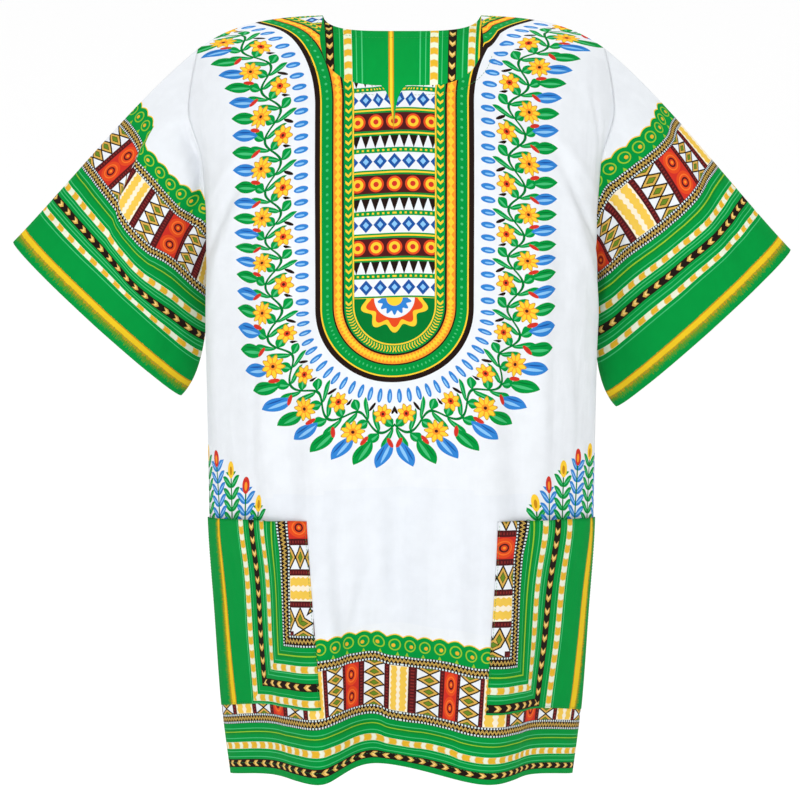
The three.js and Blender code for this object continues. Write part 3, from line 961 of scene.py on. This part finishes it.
def beaded_bars(b, q):
    """Dark bars beside the lozenges, each with a row of beads."""
    bars = calc("MAXIMUM", band(q, WAVES_END, LOZENGES[0]), band(q, LOZENGES[1], MEDALS_START))
    beads = calc("MAXIMUM", band(q, 12.7, 14.8), band(q, 38.7, 40.9)) * (share(b, DOT_PITCH) < 0.5)
    return [(bars, MAROON), (beads, BEAD_RED)]


def blocks(colour, b, s, height=BLOCK_HEIGHT):
    """Columns of waves, lozenges and medallions, in a mirrored repeat along s."""
    q = bounce(s, BLOCK_HALF)
    inside = band(b, 0, height)
    rows = lozenges(b, q, height) + medallions(b, q, height) + beaded_bars(b, q)
    rows.append((q < WAVES_END, WARM_WHITE))
    colour = layers(colour, (inside, WHITE), *within(inside, rows))
    wave = abs(q - 5.7 + calc("SINE", b * (2 * math.pi / 6.1)) * 0.6) < 3.5
    return paint(colour, band(b, 0.5, height - 0.5) * wave, WAVE_YELLOW)


def scallops(colour, t, s, low, pitch=16.4):
    """A green edging with bumps, each with a ring and a dot, and small buds below."""
    u = centred(s, pitch)
    v = t - (low + 11.5)
    edge = calc("COSINE", u * (math.pi / pitch)) * 3.0 + (low + 19.0)
    above = t > low
    bud = abs(centred(s + 4, BUD_PITCH)) + (t - low) * 0.5 < 2.0
    return layers(
        colour,
        (above * (t < edge + 1.1), YELLOW),
        (above * (t < edge), GREEN),
        (band(length_of(u, v), 5.0, 6.3), LIME),
        (length_of(u - 1.4, v + 0.8) < 2.0, DASH_YELLOW),
        (bud * above, LIME),
    )


def brushed_line(colour, t, s, low, high, reach):
    """A yellow line with a dark upper edge, and streaks that feather away below it."""
    streak = noise(place_of(s * 1.3, t * 0.13), 1.0, 3)
    far = band(t, low - reach, high) * (streak > climb(t, low, low - reach, 0.34) + 0.28)
    near = band(t, low - reach / 2, high) * (streak > climb(t, low, low - reach / 2, 0.36) + 0.34)
    core = band(t + (streak - 0.5) * 4.0, low + 0.6, high)
    edge = band(t, high - 0.9, high + 0.2)
    return layers(colour, (far, OLIVE), (near, OCHRE), (core, LINE_YELLOW), (edge, DARK_ORANGE))


# ---- cloth finish
COTTON = {"Roughness": 0.84, "Specular IOR Level": 0.06, "Sheen Weight": 0.01, "Sheen Roughness": 0.5}
THREAD_PITCH = 0.62
CRUMPLE_STRENGTH = 0.6
CRUMPLE_DEPTH = 0.0024


def start_print(name):
    """A new cloth material: gives it, and its flat coordinates in millimetres."""
    material, _ = add_material(name)
    Value.tree = material.node_tree
    flat = Value.tree.nodes.new("ShaderNodeUVMap")
    flat.uv_map = "flat"
    parts = Value.tree.nodes.new("ShaderNodeSeparateXYZ")
    connect(flat.outputs[0], parts.inputs[0])
    return material, Value(parts.outputs[0]) / MM, Value(parts.outputs[1]) / MM, flat.outputs[0]


def finish_print(material, colour, x, y, flat):
    """Uneven ink, thread and weave, and a soft crumple, on a matt cotton shader.

    The noise over flat has its scale per metre of cloth.
    """
    nodes = Value.tree.nodes
    shader = nodes["Principled BSDF"]
    wear = noise(flat, 55, 4) * 0.12 + 0.94
    thread = calc("SINE", x * (2 * math.pi / THREAD_PITCH)) * calc("SINE", y * (2 * math.pi / THREAD_PITCH))
    shaded = nodes.new("ShaderNodeVectorMath")
    shaded.operation = "SCALE"
    connect(colour, shaded.inputs[0])
    connect(wear + thread * 0.03, shaded.inputs["Scale"])
    connect(shaded.outputs[0], shader.inputs["Base Color"])
    for name, value in COTTON.items():
        shader.inputs[name].default_value = value
    streaks = noise(place_of(x * 0.05, y * 0.009), 1.0, 2)
    crumple = streaks * 1.3 + noise(flat, 30, 2) * 0.4 + noise(flat, 120, 2) * 0.18 + thread * 0.03
    bump = nodes.new("ShaderNodeBump")
    bump.inputs["Strength"].default_value = CRUMPLE_STRENGTH
    bump.inputs["Distance"].default_value = CRUMPLE_DEPTH
    connect(crumple, bump.inputs["Height"])
    connect(bump.outputs[0], shader.inputs["Normal"])
    return material


def plain_print(name):
    material, x, y, flat = start_print(name)
    return finish_print(material, paint(WHITE, noise(flat, 9, 2) * 0.6, SHADED_WHITE), x, y, flat)


# ---- hem border
PALE_LINE = 0.9
ALL_POSITIVE = 400.0  # moves a length off zero, so that a repeat doesn't turn there


def lined_stripes(lines, dim, lime, end):
    """A green border's stripes: its pale lines, its dim stretch with a lime line, its end."""
    rows = [(0, GREEN), (dim, DIM_GREEN), (lime, LIME), (lime + 1.1, DIM_GREEN), (end, WHITE)]
    for place in lines:
        rows += [(place, PALE_GREEN), (place + PALE_LINE, GREEN)]
    return sorted(rows, key=lambda row: row[0])


HEM_STRIPES = lined_stripes((17.6, 23.2, 37.6, 48.4), 42.5, 44.6, 60)
HEM_BANDS = {"chevrons": 11.2, "dashes": 30.6, "strip": 54.8}
HEM_BORDER = 157.0
# The heights where its sag is given, none at the first: rows of x, and the sag at the others.
HEM_LEVELS = (0, 30.6, 60, 119)
HEM_DRIFT = [
    (-300, 0.6, 1, 1), (-88, 1, 2.5, 4), (-68, 0, 3.6, 3), (-40, 0, 2.6, 2.6), (-18, -2.8, -1.2, -1.8),
    (3, -5.6, -6, -5), (28, -3.8, -4.8, -3.8), (50, -3, -4.6, -2.8), (72, -5.6, -5.4, -4.4),
    (95, -6, -6, -3.6), (300, -4, -4, -4),
]
# Where its blocks' columns lie, as the cloth folds: rows of x and place in the repeat.
HEM_BLOCKS = [
    (-292, -278), (-157, -156), (-95, -104), (-86, -91.5), (-82.5, -87.5), (-64.5, -67), (-61, -61.4),
    (-44.5, -42.6), (-38, -37), (-16.2, -16.5), (-10.8, -11), (9.4, 11), (19, 16.5), (44.2, 37),
    (49.3, 42.6), (62.9, 61.4), (66, 67), (86.8, 87.5), (91.4, 93), (105.7, 104), (169, 156), (292, 274),
]


def sagging(y, x, levels, rows):
    """The height in a print that hangs lower or higher by the sags in rows of x."""
    sags = [curve(x, [(row[0], row[k]) for row in rows]) for k in range(1, len(levels))]
    places = [levels[0]] + [sag + level for level, sag in zip(levels[1:], sags)]
    t = calc("MINIMUM", y, levels[0])
    for k in range(len(levels) - 1):
        t = t + climb(y, places[k], places[k + 1], float(levels[k + 1] - levels[k]))
    return t + calc("MAXIMUM", y - places[-1], 0.0)


def border_above(colour, t, s, low, block_s, scallop_s):
    """The wide part of a border: strip, blocks, strip and scalloped edging."""
    colour = zigzag_strip(colour, t, s, low)
    colour = blocks(colour, t - (low + STRIP), block_s)
    colour = zigzag_strip(colour, t, s, low + STRIP + BLOCK_HEIGHT)
    return scallops(colour, t, scallop_s, low + 2 * STRIP + BLOCK_HEIGHT)


def hem_print(name):
    material, x, y, flat = start_print(name)
    s = abs(x - 2)
    t = sagging(y, x, HEM_LEVELS, HEM_DRIFT)
    colour = stripes(t, HEM_STRIPES)
    colour = chevrons(colour, t, s, HEM_BANDS["chevrons"], pitch=13.3)
    colour = dashes(colour, t, s, HEM_BANDS["dashes"], pitch=13.6)
    colour = border_above(colour, t, s, HEM_BANDS["strip"], curve(x, HEM_BLOCKS), s)
    return finish_print(material, colour, x, y, flat)


# ---- sleeve borders
# Heights above the cuff of each border's bands.
SLEEVE_BANDS = {
    "right": {"line": 12.4, "dashes": 49, "chevrons": 65.5, "upper_dashes": 82.5, "strip": 106.7},
    "left": {"line": 12.8, "dashes": 53, "chevrons": 70.5, "upper_dashes": 87.5, "strip": 111.7},
}
# The heights where its sag is given, none at the first: rows of x, and the sag at the others.
DRIFT_LEVELS = {"right": (45, 65, 112, 171, 200), "left": (30, 70, 117, 176)}
DRIFT_ROWS = {
    "right": [
        (-130, 5, -2, 2, 2), (-85, 3.3, 5, 2, 2), (-60, 1.5, 4, -5, -5), (-40, -1.3, 1, -11.5, -13),
        (-20, -3.6, -5, -16, -20), (0, -4.4, -10.5, -17.5, -24), (20, -3.3, -12, -18, -25),
        (38, -2, -10, -18, -25), (47, -1.4, -6, -18, -25), (51, -1.2, -3, -3, -4), (80, 0, -1, 0, 0),
        (110, 0.5, 0, -1, -1), (280, 0, 0, 0, 0),
    ],
    "left": [
        (-130, 14, 27, 12), (-75, 12, 22.5, 15), (-50, 10.5, 18.5, 17), (-20, 7, 10.5, 16),
        (0, 4.5, 5, 11), (30, 1.5, -0.5, 4), (50, -0.5, -2, 0), (80, -1.5, 0, -2),
        (112, 2.5, 4, 4), (150, 0, 0, 0), (280, 0, 0, 0),
    ],
}
# Where the blocks' columns lie, as the cloth folds: rows of x and place in the repeat.
# The right sleeve's pleat hides some of them, and those past it have rows of their own.
SLEEVE_BLOCKS = {
    "right": [
        (-290, -260), (-89, -93), (-77, -87.5), (-50, -67), (-44, -61.4), (-15, -42.6), (-6, -37),
        (20, -16.5), (28, -11), (40, 0), (52, 11), (290, 200),
    ],
    "past": [(44, 22), (58, 37), (64, 42.6), (87, 61.4), (94, 67), (124, 87.5), (132, 93), (290, 215)],
    "left": [
        (-290, -210), (-100, -61.4), (-72, -42.6), (-66, -37), (-32, -16.5), (-21, -11), (-4, 0), (12, 11),
        (19, 16.5), (48, 37), (55, 42.6), (77, 61.4), (82, 67), (100, 87.5), (106, 93), (119, 104),
        (290, 226),
    ],
}
# How far along the print each place lies: rows of x and place.
SLEEVE_ALONG = {
    "right": [
        (-290, -250), (-108, -94.5), (-87, -81), (-53, -54), (-22, -27), (6, 0), (33, 27), (60, 54),
        (86, 81), (290, 290),
    ],
    "left": [
        (-290, -225), (-105, -90), (-64, -60), (-29, -30), (5, 0), (35, 30), (64, 60), (79, 75),
        (99, 105), (115, 128), (290, 310),
    ],
}
CHEVRON_PITCH = {"right": 13.5, "left": 15.0}
SCALLOP_STRETCH = {"right": 1.1, "left": 1.25}
PLEAT_SLANT = 0.26  # of the right sleeve's pleat and of the columns past it
PLEAT_LEVEL = 110
PLEAT_PLACE = 49
BLOCK_LEVEL = 142  # the height at which the columns' places are given
LEFT_LEAN = (30, -20, 0.16)  # the columns come to lean by the last, from the first x to the second


def sleeve_stripes(bands):
    """Stripes of a sleeve border: pale lines beside its bands."""
    lines = [bands["strip"] - 5.4]
    for name, below, above in (("dashes", 7.4, 6.2), ("chevrons", 7.2, 7.0), ("upper_dashes", 6.6, 6.0)):
        lines += [bands[name] - below, bands[name] + above]
    return lined_stripes(lines, bands["strip"] - 12, bands["strip"] - 9.6, bands["strip"] + 8)


def right_folds(x, y):
    """Where the right sleeve's pleat moves a place to, along the blocks and along the sags."""
    slanted = x - (y - PLEAT_LEVEL) * PLEAT_SLANT
    past = slanted > PLEAT_PLACE
    before = curve(x, SLEEVE_BLOCKS["right"])
    beyond = curve(x + (y - BLOCK_LEVEL) * PLEAT_SLANT, SLEEVE_BLOCKS["past"])
    return before + past * (beyond - before), slanted


def left_folds(x, y):
    """The same for the left sleeve, where the columns only lean."""
    return curve(x + (y - BLOCK_LEVEL) * climb(x, *LEFT_LEAN), SLEEVE_BLOCKS["left"]), x


def sleeve_print(name, side):
    material, x, y, flat = start_print(name)
    bands = SLEEVE_BANDS[side]
    block_s, sag_x = right_folds(x, y) if side == "right" else left_folds(x, y)
    t = sagging(y, sag_x, DRIFT_LEVELS[side], DRIFT_ROWS[side])
    colour = stripes(t, sleeve_stripes(bands))
    colour = brushed_line(colour, y, x, bands["line"], bands["line"] + 7.0, 8.0)
    along = curve(x, SLEEVE_ALONG[side])
    s = along + ALL_POSITIVE
    colour = dashes(colour, t, s, bands["dashes"], height=5.6, pitch=17.0)
    colour = chevrons(colour, t, ALL_POSITIVE - along, bands["chevrons"], 7.8, CHEVRON_PITCH[side])
    colour = dashes(colour, t, s + 5, bands["upper_dashes"], height=6.4, pitch=15.8)
    colour = border_above(colour, t, s, bands["strip"], block_s, s / SCALLOP_STRETCH[side])
    return finish_print(material, colour, x, y, flat)


# ---- pocket corners
POCKET_STRIPES = lined_stripes((8.2, 21.6, 40.2, 44.4, 57.6, 68), 61, 63.6, 90)
POCKET_BANDS = {"dashes": 15.0, "chevrons": 32.0, "upper_dashes": 50.5, "strip": 73.5, "blocks": 86.1}
POCKET_BLOCKS = {"height": 51.0, "stretch": 1.2}
# edge: where the border starts from the pocket's outer edge, by height; line and line_half:
# the yellow line's middle and half width; wide: the border's width on the upright, as a share;
# foot: how much of the border the bottom hides; waves: the height of a wave block's middle;
# bend: how far the strip and blocks bend outwards at the pocket's mouth.
POCKET_PRINTS = {
    "right": {
        "edge": [(0, 46), (47, 48.5), (104, 52.2), (210, 63.5)],
        "line": [(0, 28), (104, 30), (210, 40)],
        "line_half": [(0, 3.4), (210, 1.7)],
        "wide": 0.985, "foot": 8.2, "waves": 126.6, "bend": 7.0,
    },
    "left": {
        "edge": [(0, 42.4), (47, 41.5), (104, 41.2), (210, 48.5)],
        "line": [(0, 22), (47, 19.5), (104, 18.5), (210, 23)],
        "line_half": [(0, 4.4), (104, 5.2), (210, 2.2)],
        "wide": 1.16, "foot": 25.6, "waves": 111, "bend": 7.0,
    },
}
POCKET_BEND = (165, 215)


def pocket_print(name, side):
    """The border turned round the pocket's lower outer corner, mitred."""
    material, x, y, flat = start_print(name)
    layout = POCKET_PRINTS[side]
    wobble = (noise(flat, 11, 0) - 0.5) * 3.5
    e = (x - curve(y, layout["edge"]) + wobble) / layout["wide"]
    b = y + layout["foot"]
    bent = e + climb(y, *POCKET_BEND, layout["bend"])
    upright = e < b
    t = calc("MINIMUM", e, b)
    wide_t = calc("MINIMUM", bent, b)
    block_s = (calc("MAXIMUM", bent, b) - (layout["foot"] + layout["waves"])) / POCKET_BLOCKS["stretch"]
    s = (y - x + 4) * upright + x + ALL_POSITIVE
    bands = POCKET_BANDS
    colour = stripes(t, POCKET_STRIPES)
    colour = dashes(colour, t, s, bands["dashes"], pitch=15.0)
    colour = chevrons(colour, t, 2 * ALL_POSITIVE - s, bands["chevrons"])
    colour = dashes(colour, t, s + 4, bands["upper_dashes"])
    colour = paint(colour, wide_t > bands["strip"], WHITE)
    colour = zigzag_strip(colour, wide_t, s, bands["strip"], bands["blocks"] - bands["strip"])
    colour = blocks(colour, wide_t - bands["blocks"], block_s, POCKET_BLOCKS["height"])
    middle, half = curve(y, layout["line"]), curve(y, layout["line_half"])
    colour = brushed_line(colour, x, y, middle - half, middle + half, 6.0)
    return finish_print(material, colour, x, y, flat)


# ---- bib and garland: a round-footed bib in rows, in a wreath of leafy vine
PRINT_X = -7.0
RIDGE_LENGTH = 820.0
BIB_HALF = 78.0
BIB_FOOT = 335.0
BIB_FLARE = {"width": 58.0, "fall": 130.0}
BIB_FIELD = -38.5
BIB_REPEAT = 62.0
BIB_DOT_PITCH = 8.0
VINE_RADIUS = 123.0
VINE_PITCH = 52.0
LEAF_PITCH = VINE_PITCH / 3
DROP_PITCH = VINE_PITCH / 4
BIB_BANDS = 80.0  # the stripes start this far inside the bib's edge
BIB_STRIPES = [
    (0, GREEN), (41.5, YELLOW), (43, GREEN), (51.5, BLACK), (53, ORANGE), (61.5, BLACK),
    (63, GREEN), (73.5, YELLOW), (75, BLACK), (80, WHITE),
]


def ellipse(u, v, a, b, lean=0.0):
    """Inside an ellipse of half sizes a and b, sheared by lean."""
    sheared = u - v * lean if lean else u
    return length_of(sheared / a, v / b) < 1


def leaf(u, v, half_width, half_length):
    """Inside a pointed leaf along v."""
    w = v / half_length
    return abs(u) < (1 - w * w) * half_width


def daisy(colour, u, v, radius, petals, eye):
    """A flower; its reach is a share of its radius."""
    reach = length_of(u, v) / radius
    lobes = calc("COSINE", calc("ARCTAN2", v, u) * petals)
    notches = (reach > 0.3) * (lobes < -0.72) * (reach < 0.66)
    return layers(
        colour,
        (reach < lobes * 0.16 + 0.86, DARK_ORANGE),
        (reach < lobes * 0.17 + 0.76, YELLOW),
        (notches, ORANGE),
        (reach < 0.32, eye),
        (reach < 0.14, MAROON),
    )


def garland(colour, s, d):
    """A ring of drops, then a vine with leaves and daisies, then an outer ring of leaves."""
    drops = centred(s, DROP_PITCH)
    vine = d - 43 - calc("SINE", s * (2 * math.pi / VINE_PITCH)) * 8.5
    side = abs(vine) - 8.5
    leaves = drops - side * 0.55
    out = d - 73
    blade = centred(s, LEAF_PITCH) - out * 0.35
    tint = share(s, 2 * LEAF_PITCH) < 0.5
    place = share(s, VINE_PITCH) * VINE_PITCH
    colour = layers(
        colour,
        (ellipse(drops, d - 14, 3.3, 7.2), BLUE),
        (ellipse(drops + 0.5, d - 15, 1.0, 4.2), SKY),
        (leaf(leaves, side, 4.2, 8.2), GREEN),
        (leaf(leaves + 0.6, side, 0.9, 6.4), PALE_GREEN),
        (abs(vine) < 1.4, DEEP_GREEN),
        (leaf(blade, out, 6.4, 14.5), paint(GREEN, tint, BLUE)),
        (leaf(blade + 1.1, out + 1, 1.4, 10.5), paint(PALE_GREEN, tint, SKY)),
        (leaf(blade - 2.9, out, 0.7, 8.5), paint(DEEP_GREEN, tint, DARK_BLUE)),
        (ellipse(place - 4, d - 61.5, 2.2, 5.0, -0.4), RED),
        (ellipse(place - 27, d - 61.5, 2.2, 5.0, 0.4), RED),
        (ellipse(place - 26, d - 26.5, 1.9, 4.8, 0.5), BLACK),
        (ellipse(place - 0.5, d - 27.5, 1.9, 4.8, 0.5), BLACK),
    )
    colour = daisy(colour, place - 39, d - 55.5, 11.6, 9.0, ORANGE)
    return daisy(colour, place - 13, d - 32.5, 10.4, 7.0, RED_ORANGE)


def bib_rows(colour, x, y, d):
    """Rows of lozenges, medallions, triangles and beads inside the bib's bands."""
    place = share(y - BIB_REPEAT, BIB_REPEAT) * BIB_REPEAT
    lozenge = bounce(x, 7.0) / 7 + abs(place - 8.5) / 8
    radius = length_of(bounce(x, 9.0), place - 31)
    top, medals, teeth = place < 17, band(place, 22, 40), band(place, 45, 57)
    rows = (
        (top, WHITE),
        (top * (lozenge < 0.95), DARK_BLUE),
        (top * (lozenge < 0.42), SKY),
        (band(place, 18.6, 20.2), YELLOW),
        (medals, MAROON),
        (medals * (radius < 7.6), RED_ORANGE),
        (medals * (radius < 5.5), YELLOW),
        (medals * (radius < 2.6), RED),
        (band(place, 41.8, 43.4), YELLOW),
        (teeth, WHITE),
        (teeth * (bounce(x, 4.7) + (place - 45) * 0.34 < 4.2), BLACK),
        (band(place, 58.6, 60.4) * (share(x, 5.0) < 0.4), YELLOW),
    )
    inside = d < BIB_FIELD
    return layers(colour, *within(inside, rows))


def rosette(colour, x, y, d):
    """A half rosette in the bib's round foot."""
    drop = y - (BIB_FOOT - 6)
    reach = length_of(x, drop)
    angle = calc("ARCTAN2", x, drop)
    petals = calc("COSINE", angle * 10)
    inside = (drop > 0) * (d < BIB_FIELD)
    rows = (
        (inside, DEEP_GREEN),
        (reach < petals * 3.5 + 31, YELLOW),
        (reach < petals * 3.2 + 26, RED_ORANGE),
        (reach < 20, WHITE),
        (reach < calc("COSINE", angle * 14) * 2 + 15, BLUE),
        (reach < 8, YELLOW),
    )
    return layers(colour, *within(inside, rows))


def yoke_print(name):
    """d runs outwards from the bib's edge, and s along that edge."""
    material, x, y, flat = start_print(name)
    across = abs(x - PRINT_X)
    fall = RIDGE_LENGTH - y
    flare = calc("MAXIMUM", 1 - fall / BIB_FLARE["fall"], 0.0)
    beside = across - (flare * flare * BIB_FLARE["width"] + BIB_HALF)
    past = fall - BIB_FOOT
    below = past > 0
    d = beside + below * (length_of(across, past) - BIB_HALF - beside)
    s = VINE_RADIUS * math.pi / 2 - past
    s = s + below * (calc("ARCTAN2", across, past) * VINE_RADIUS - s)
    dots = centred(s, BIB_DOT_PITCH)
    heads = (share(s - abs(d + 33), BIB_DOT_PITCH) < 0.35) * band(d, -36, -30)
    colour = layers(
        stripes(d + BIB_BANDS, BIB_STRIPES),
        (ellipse(dots, d + 12, 1.3, 1.3), PALE_GREEN),
        (abs(dots) * 0.7 + abs(d + 22.7) < 3.3, YELLOW),
        (heads, YELLOW),
    )
    colour = bib_rows(colour, across, fall, d)
    colour = rosette(colour, across, fall, d)
    colour = garland(colour, s, d)
    return finish_print(material, colour, x, y, flat)


# Stems above each pocket: place out from the middle, height and lean.
SPRIG_STEMS = (
    (160, 34, 0.26), (178, 54, 0.2), (197, 72, 0.12), (217, 86, 0.05), (238, 94, 0.0),
    (259, 96, -0.04), (280, 92, -0.08),
)
POCKET_TOP = 283.0
SPRIG_FOOT = 26.0
SPRIG_PITCH = 12.5


def sprig(colour, k, u, rise, height):
    """One stem with leaves on both sides and a bud on top."""
    aside = abs(u) - 6.5
    beat = centred(rise - abs(u) * 0.8 + 6 * (k % 2), SPRIG_PITCH)
    tall = rise < height
    main, light = (BLUE, SKY) if k % 2 else (GREEN, PALE_GREEN)
    bloom, heart = (RED, ORANGE) if k % 2 else (YELLOW, DARK_ORANGE)
    return layers(
        colour,
        (tall * leaf(beat, aside, 4.6, 7.6), main),
        (tall * leaf(beat, aside, 1.1, 5.6), light),
        (tall * (abs(u) < 1.0), DEEP_GREEN),
        (ellipse(u, rise - height - 2.0, 5.4, 9.0), bloom),
        (ellipse(u, rise - height - 1.0, 2.2, 4.6), heart),
    )


def sprig_print(name):
    """Leafy sprigs that stand above each pocket."""
    material, x, y, flat = start_print(name)
    rise = y - POCKET_TOP + SPRIG_FOOT
    across = abs(x - PRINT_X)
    colour = WHITE
    for k, (place, height, lean) in enumerate(SPRIG_STEMS):
        colour = sprig(colour, k, across - place + rise * lean, rise, height)
    return finish_print(material, colour, x, y, flat)


# Stripes of the back's centre band, outwards from the middle.
BACK_STRIPES = [
    (0, YELLOW), (1.3, DARK_ORANGE), (2.7, GREEN), (30, PALE_GREEN), (31, GREEN), (36, PALE_GREEN),
    (37, GREEN), (53, PALE_GREEN), (54, GREEN), (75, PALE_GREEN), (76, GREEN), (92, YELLOW), (94, BLACK),
    (98, WHITE),
]
BACK_X = -11.0
BACK_HALF = 98.0
BACK_FOOT = 250.0
BACK_BANDS = {"dashes": 45.5, "chevrons": 64.5, "outer_dashes": 85.0}
BACK_EDGE = ((-6, YELLOW), (-4.4, BLACK), (0, WHITE))


def back_print(name):
    """A striped centre band with a round foot."""
    material, x, y, flat = start_print(name)
    across = abs(x - BACK_X)
    fall = RIDGE_LENGTH - y
    past = calc("MAXIMUM", fall - BACK_FOOT, 0.0)
    reach = length_of(across, past)
    colour = stripes(across, BACK_STRIPES)
    colour = dashes(colour, across, fall, BACK_BANDS["dashes"], 8.6)
    colour = chevrons(colour, across, fall, BACK_BANDS["chevrons"])
    colour = dashes(colour, across, fall + 5, BACK_BANDS["outer_dashes"])
    colour = layers(colour, *((reach > BACK_HALF + start, tint) for start, tint in BACK_EDGE))
    return finish_print(material, colour, x, y, flat)


def thread(name, colour):
    """Twisted sewing thread."""
    material, shader = add_material(name)
    Value.tree = material.node_tree
    place = Value.tree.nodes.new("ShaderNodeTexCoord").outputs["Object"]
    tint = paint(colour, noise(place, 400, 1) * 0.7, tuple(0.5 * c for c in colour))
    connect(tint, shader.inputs["Base Color"])
    shader.inputs["Roughness"].default_value = 0.6
    return material


# ---- the pieces
plain = plain_print("cotton_plain")
hem = hem_print("cotton_hem_border")
yoke = yoke_print("cotton_bib_and_garland")
sprigs = sprig_print("cotton_sprigs")
back_band = back_print("cotton_back_band")
green_thread = thread("thread_green", GREEN)

# How far from the middle, and down from the ridge, each print reaches.
GARLAND_REACH = {"across": 232, "fall": 520}
BACK_BAND_REACH = {"across": 106, "fall": 360}
SPRIGS_START = {"across": 140, "fall": 430, "up": POCKET_TOP - 30}


def front_slots(x, up):
    fall = RIDGE_LENGTH - up
    across = np.abs(x - PRINT_X)
    slots = np.where(up < HEM_BORDER, 1, 0)
    slots = np.where((fall < GARLAND_REACH["fall"]) & (across < GARLAND_REACH["across"]), 2, slots)
    low = (up > SPRIGS_START["up"]) & (fall > SPRIGS_START["fall"])
    return np.where(low & (across > SPRIGS_START["across"]), 3, slots)


def back_slots(x, up):
    near = (RIDGE_LENGTH - up < BACK_BAND_REACH["fall"]) & (np.abs(x - BACK_X) < BACK_BAND_REACH["across"])
    return np.where(near, 2, np.where(up < HEM_BORDER, 1, 0))


def declare(node, slot):
    """Hides the imported part that a piece of cloth stands for. Its finish, slot, is not used."""
    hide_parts(node)


NECK_SEAM = 10.0
HEM_SEAM = 12.0
POCKET_SEAM = 1.7
# node, panel, neck drop, materials, which of them each place has, and the cut's size.
PANELS = (
    ("front", front, FRONT_NECK_DROP, [plain, hem, yoke, sprigs], front_slots, (0.594, 0.822)),
    ("back", back, BACK_NECK_DROP, [plain, hem, back_band], back_slots, (0.54, 0.822)),
)
for node, panel, neck_drop, cloths, slots, cut in PANELS:
    has_slit = panel is front
    piece, grid, normals = panel_piece(node + "_shell", panel, neck_drop, cloths, slots, has_slit)
    neck = neck_seams(grid, normals, NECK_SEAM, has_slit)
    hem_line = inset_line(grid[::-1], normals[::-1], HEM_SEAM)
    sewing = stitches(node + "_stitches", outside(neck + [hem_line]) + inside(neck), green_thread)
    declare(node, node + "_print")

for side in CUFFS:
    cloth = sleeve_print("cotton_sleeve_" + side, side)
    piece, grid, normals = sleeve_piece(side, [cloth])
    cuff_line = inset_line(grid[::-1], normals[::-1], HEM_SEAM)
    sewing = stitches("sleeve_" + side + "_stitches", outside([cuff_line]), green_thread)
    declare("sleeve_" + side, "sleeve_print")

for side, sign in (("right", -1), ("left", 1)):
    cloth = pocket_print("cotton_pocket_" + side, side)
    piece, grid, normals = pocket_piece("pocket_" + side + "_patch", sign, [cloth])
    turned, turned_normals = grid.transpose(1, 0, 2), normals.transpose(1, 0, 2)
    sides = ((grid[::-1], normals[::-1]), (turned, turned_normals), (turned[::-1], turned_normals[::-1]))
    edges = [inset_line(*edge, POCKET_SEAM) for edge in sides]
    sewing = stitches("pocket_" + side + "_stitches", outside(edges), green_thread, thick=0.2)
    declare("pocket_" + side, "pocket_print")
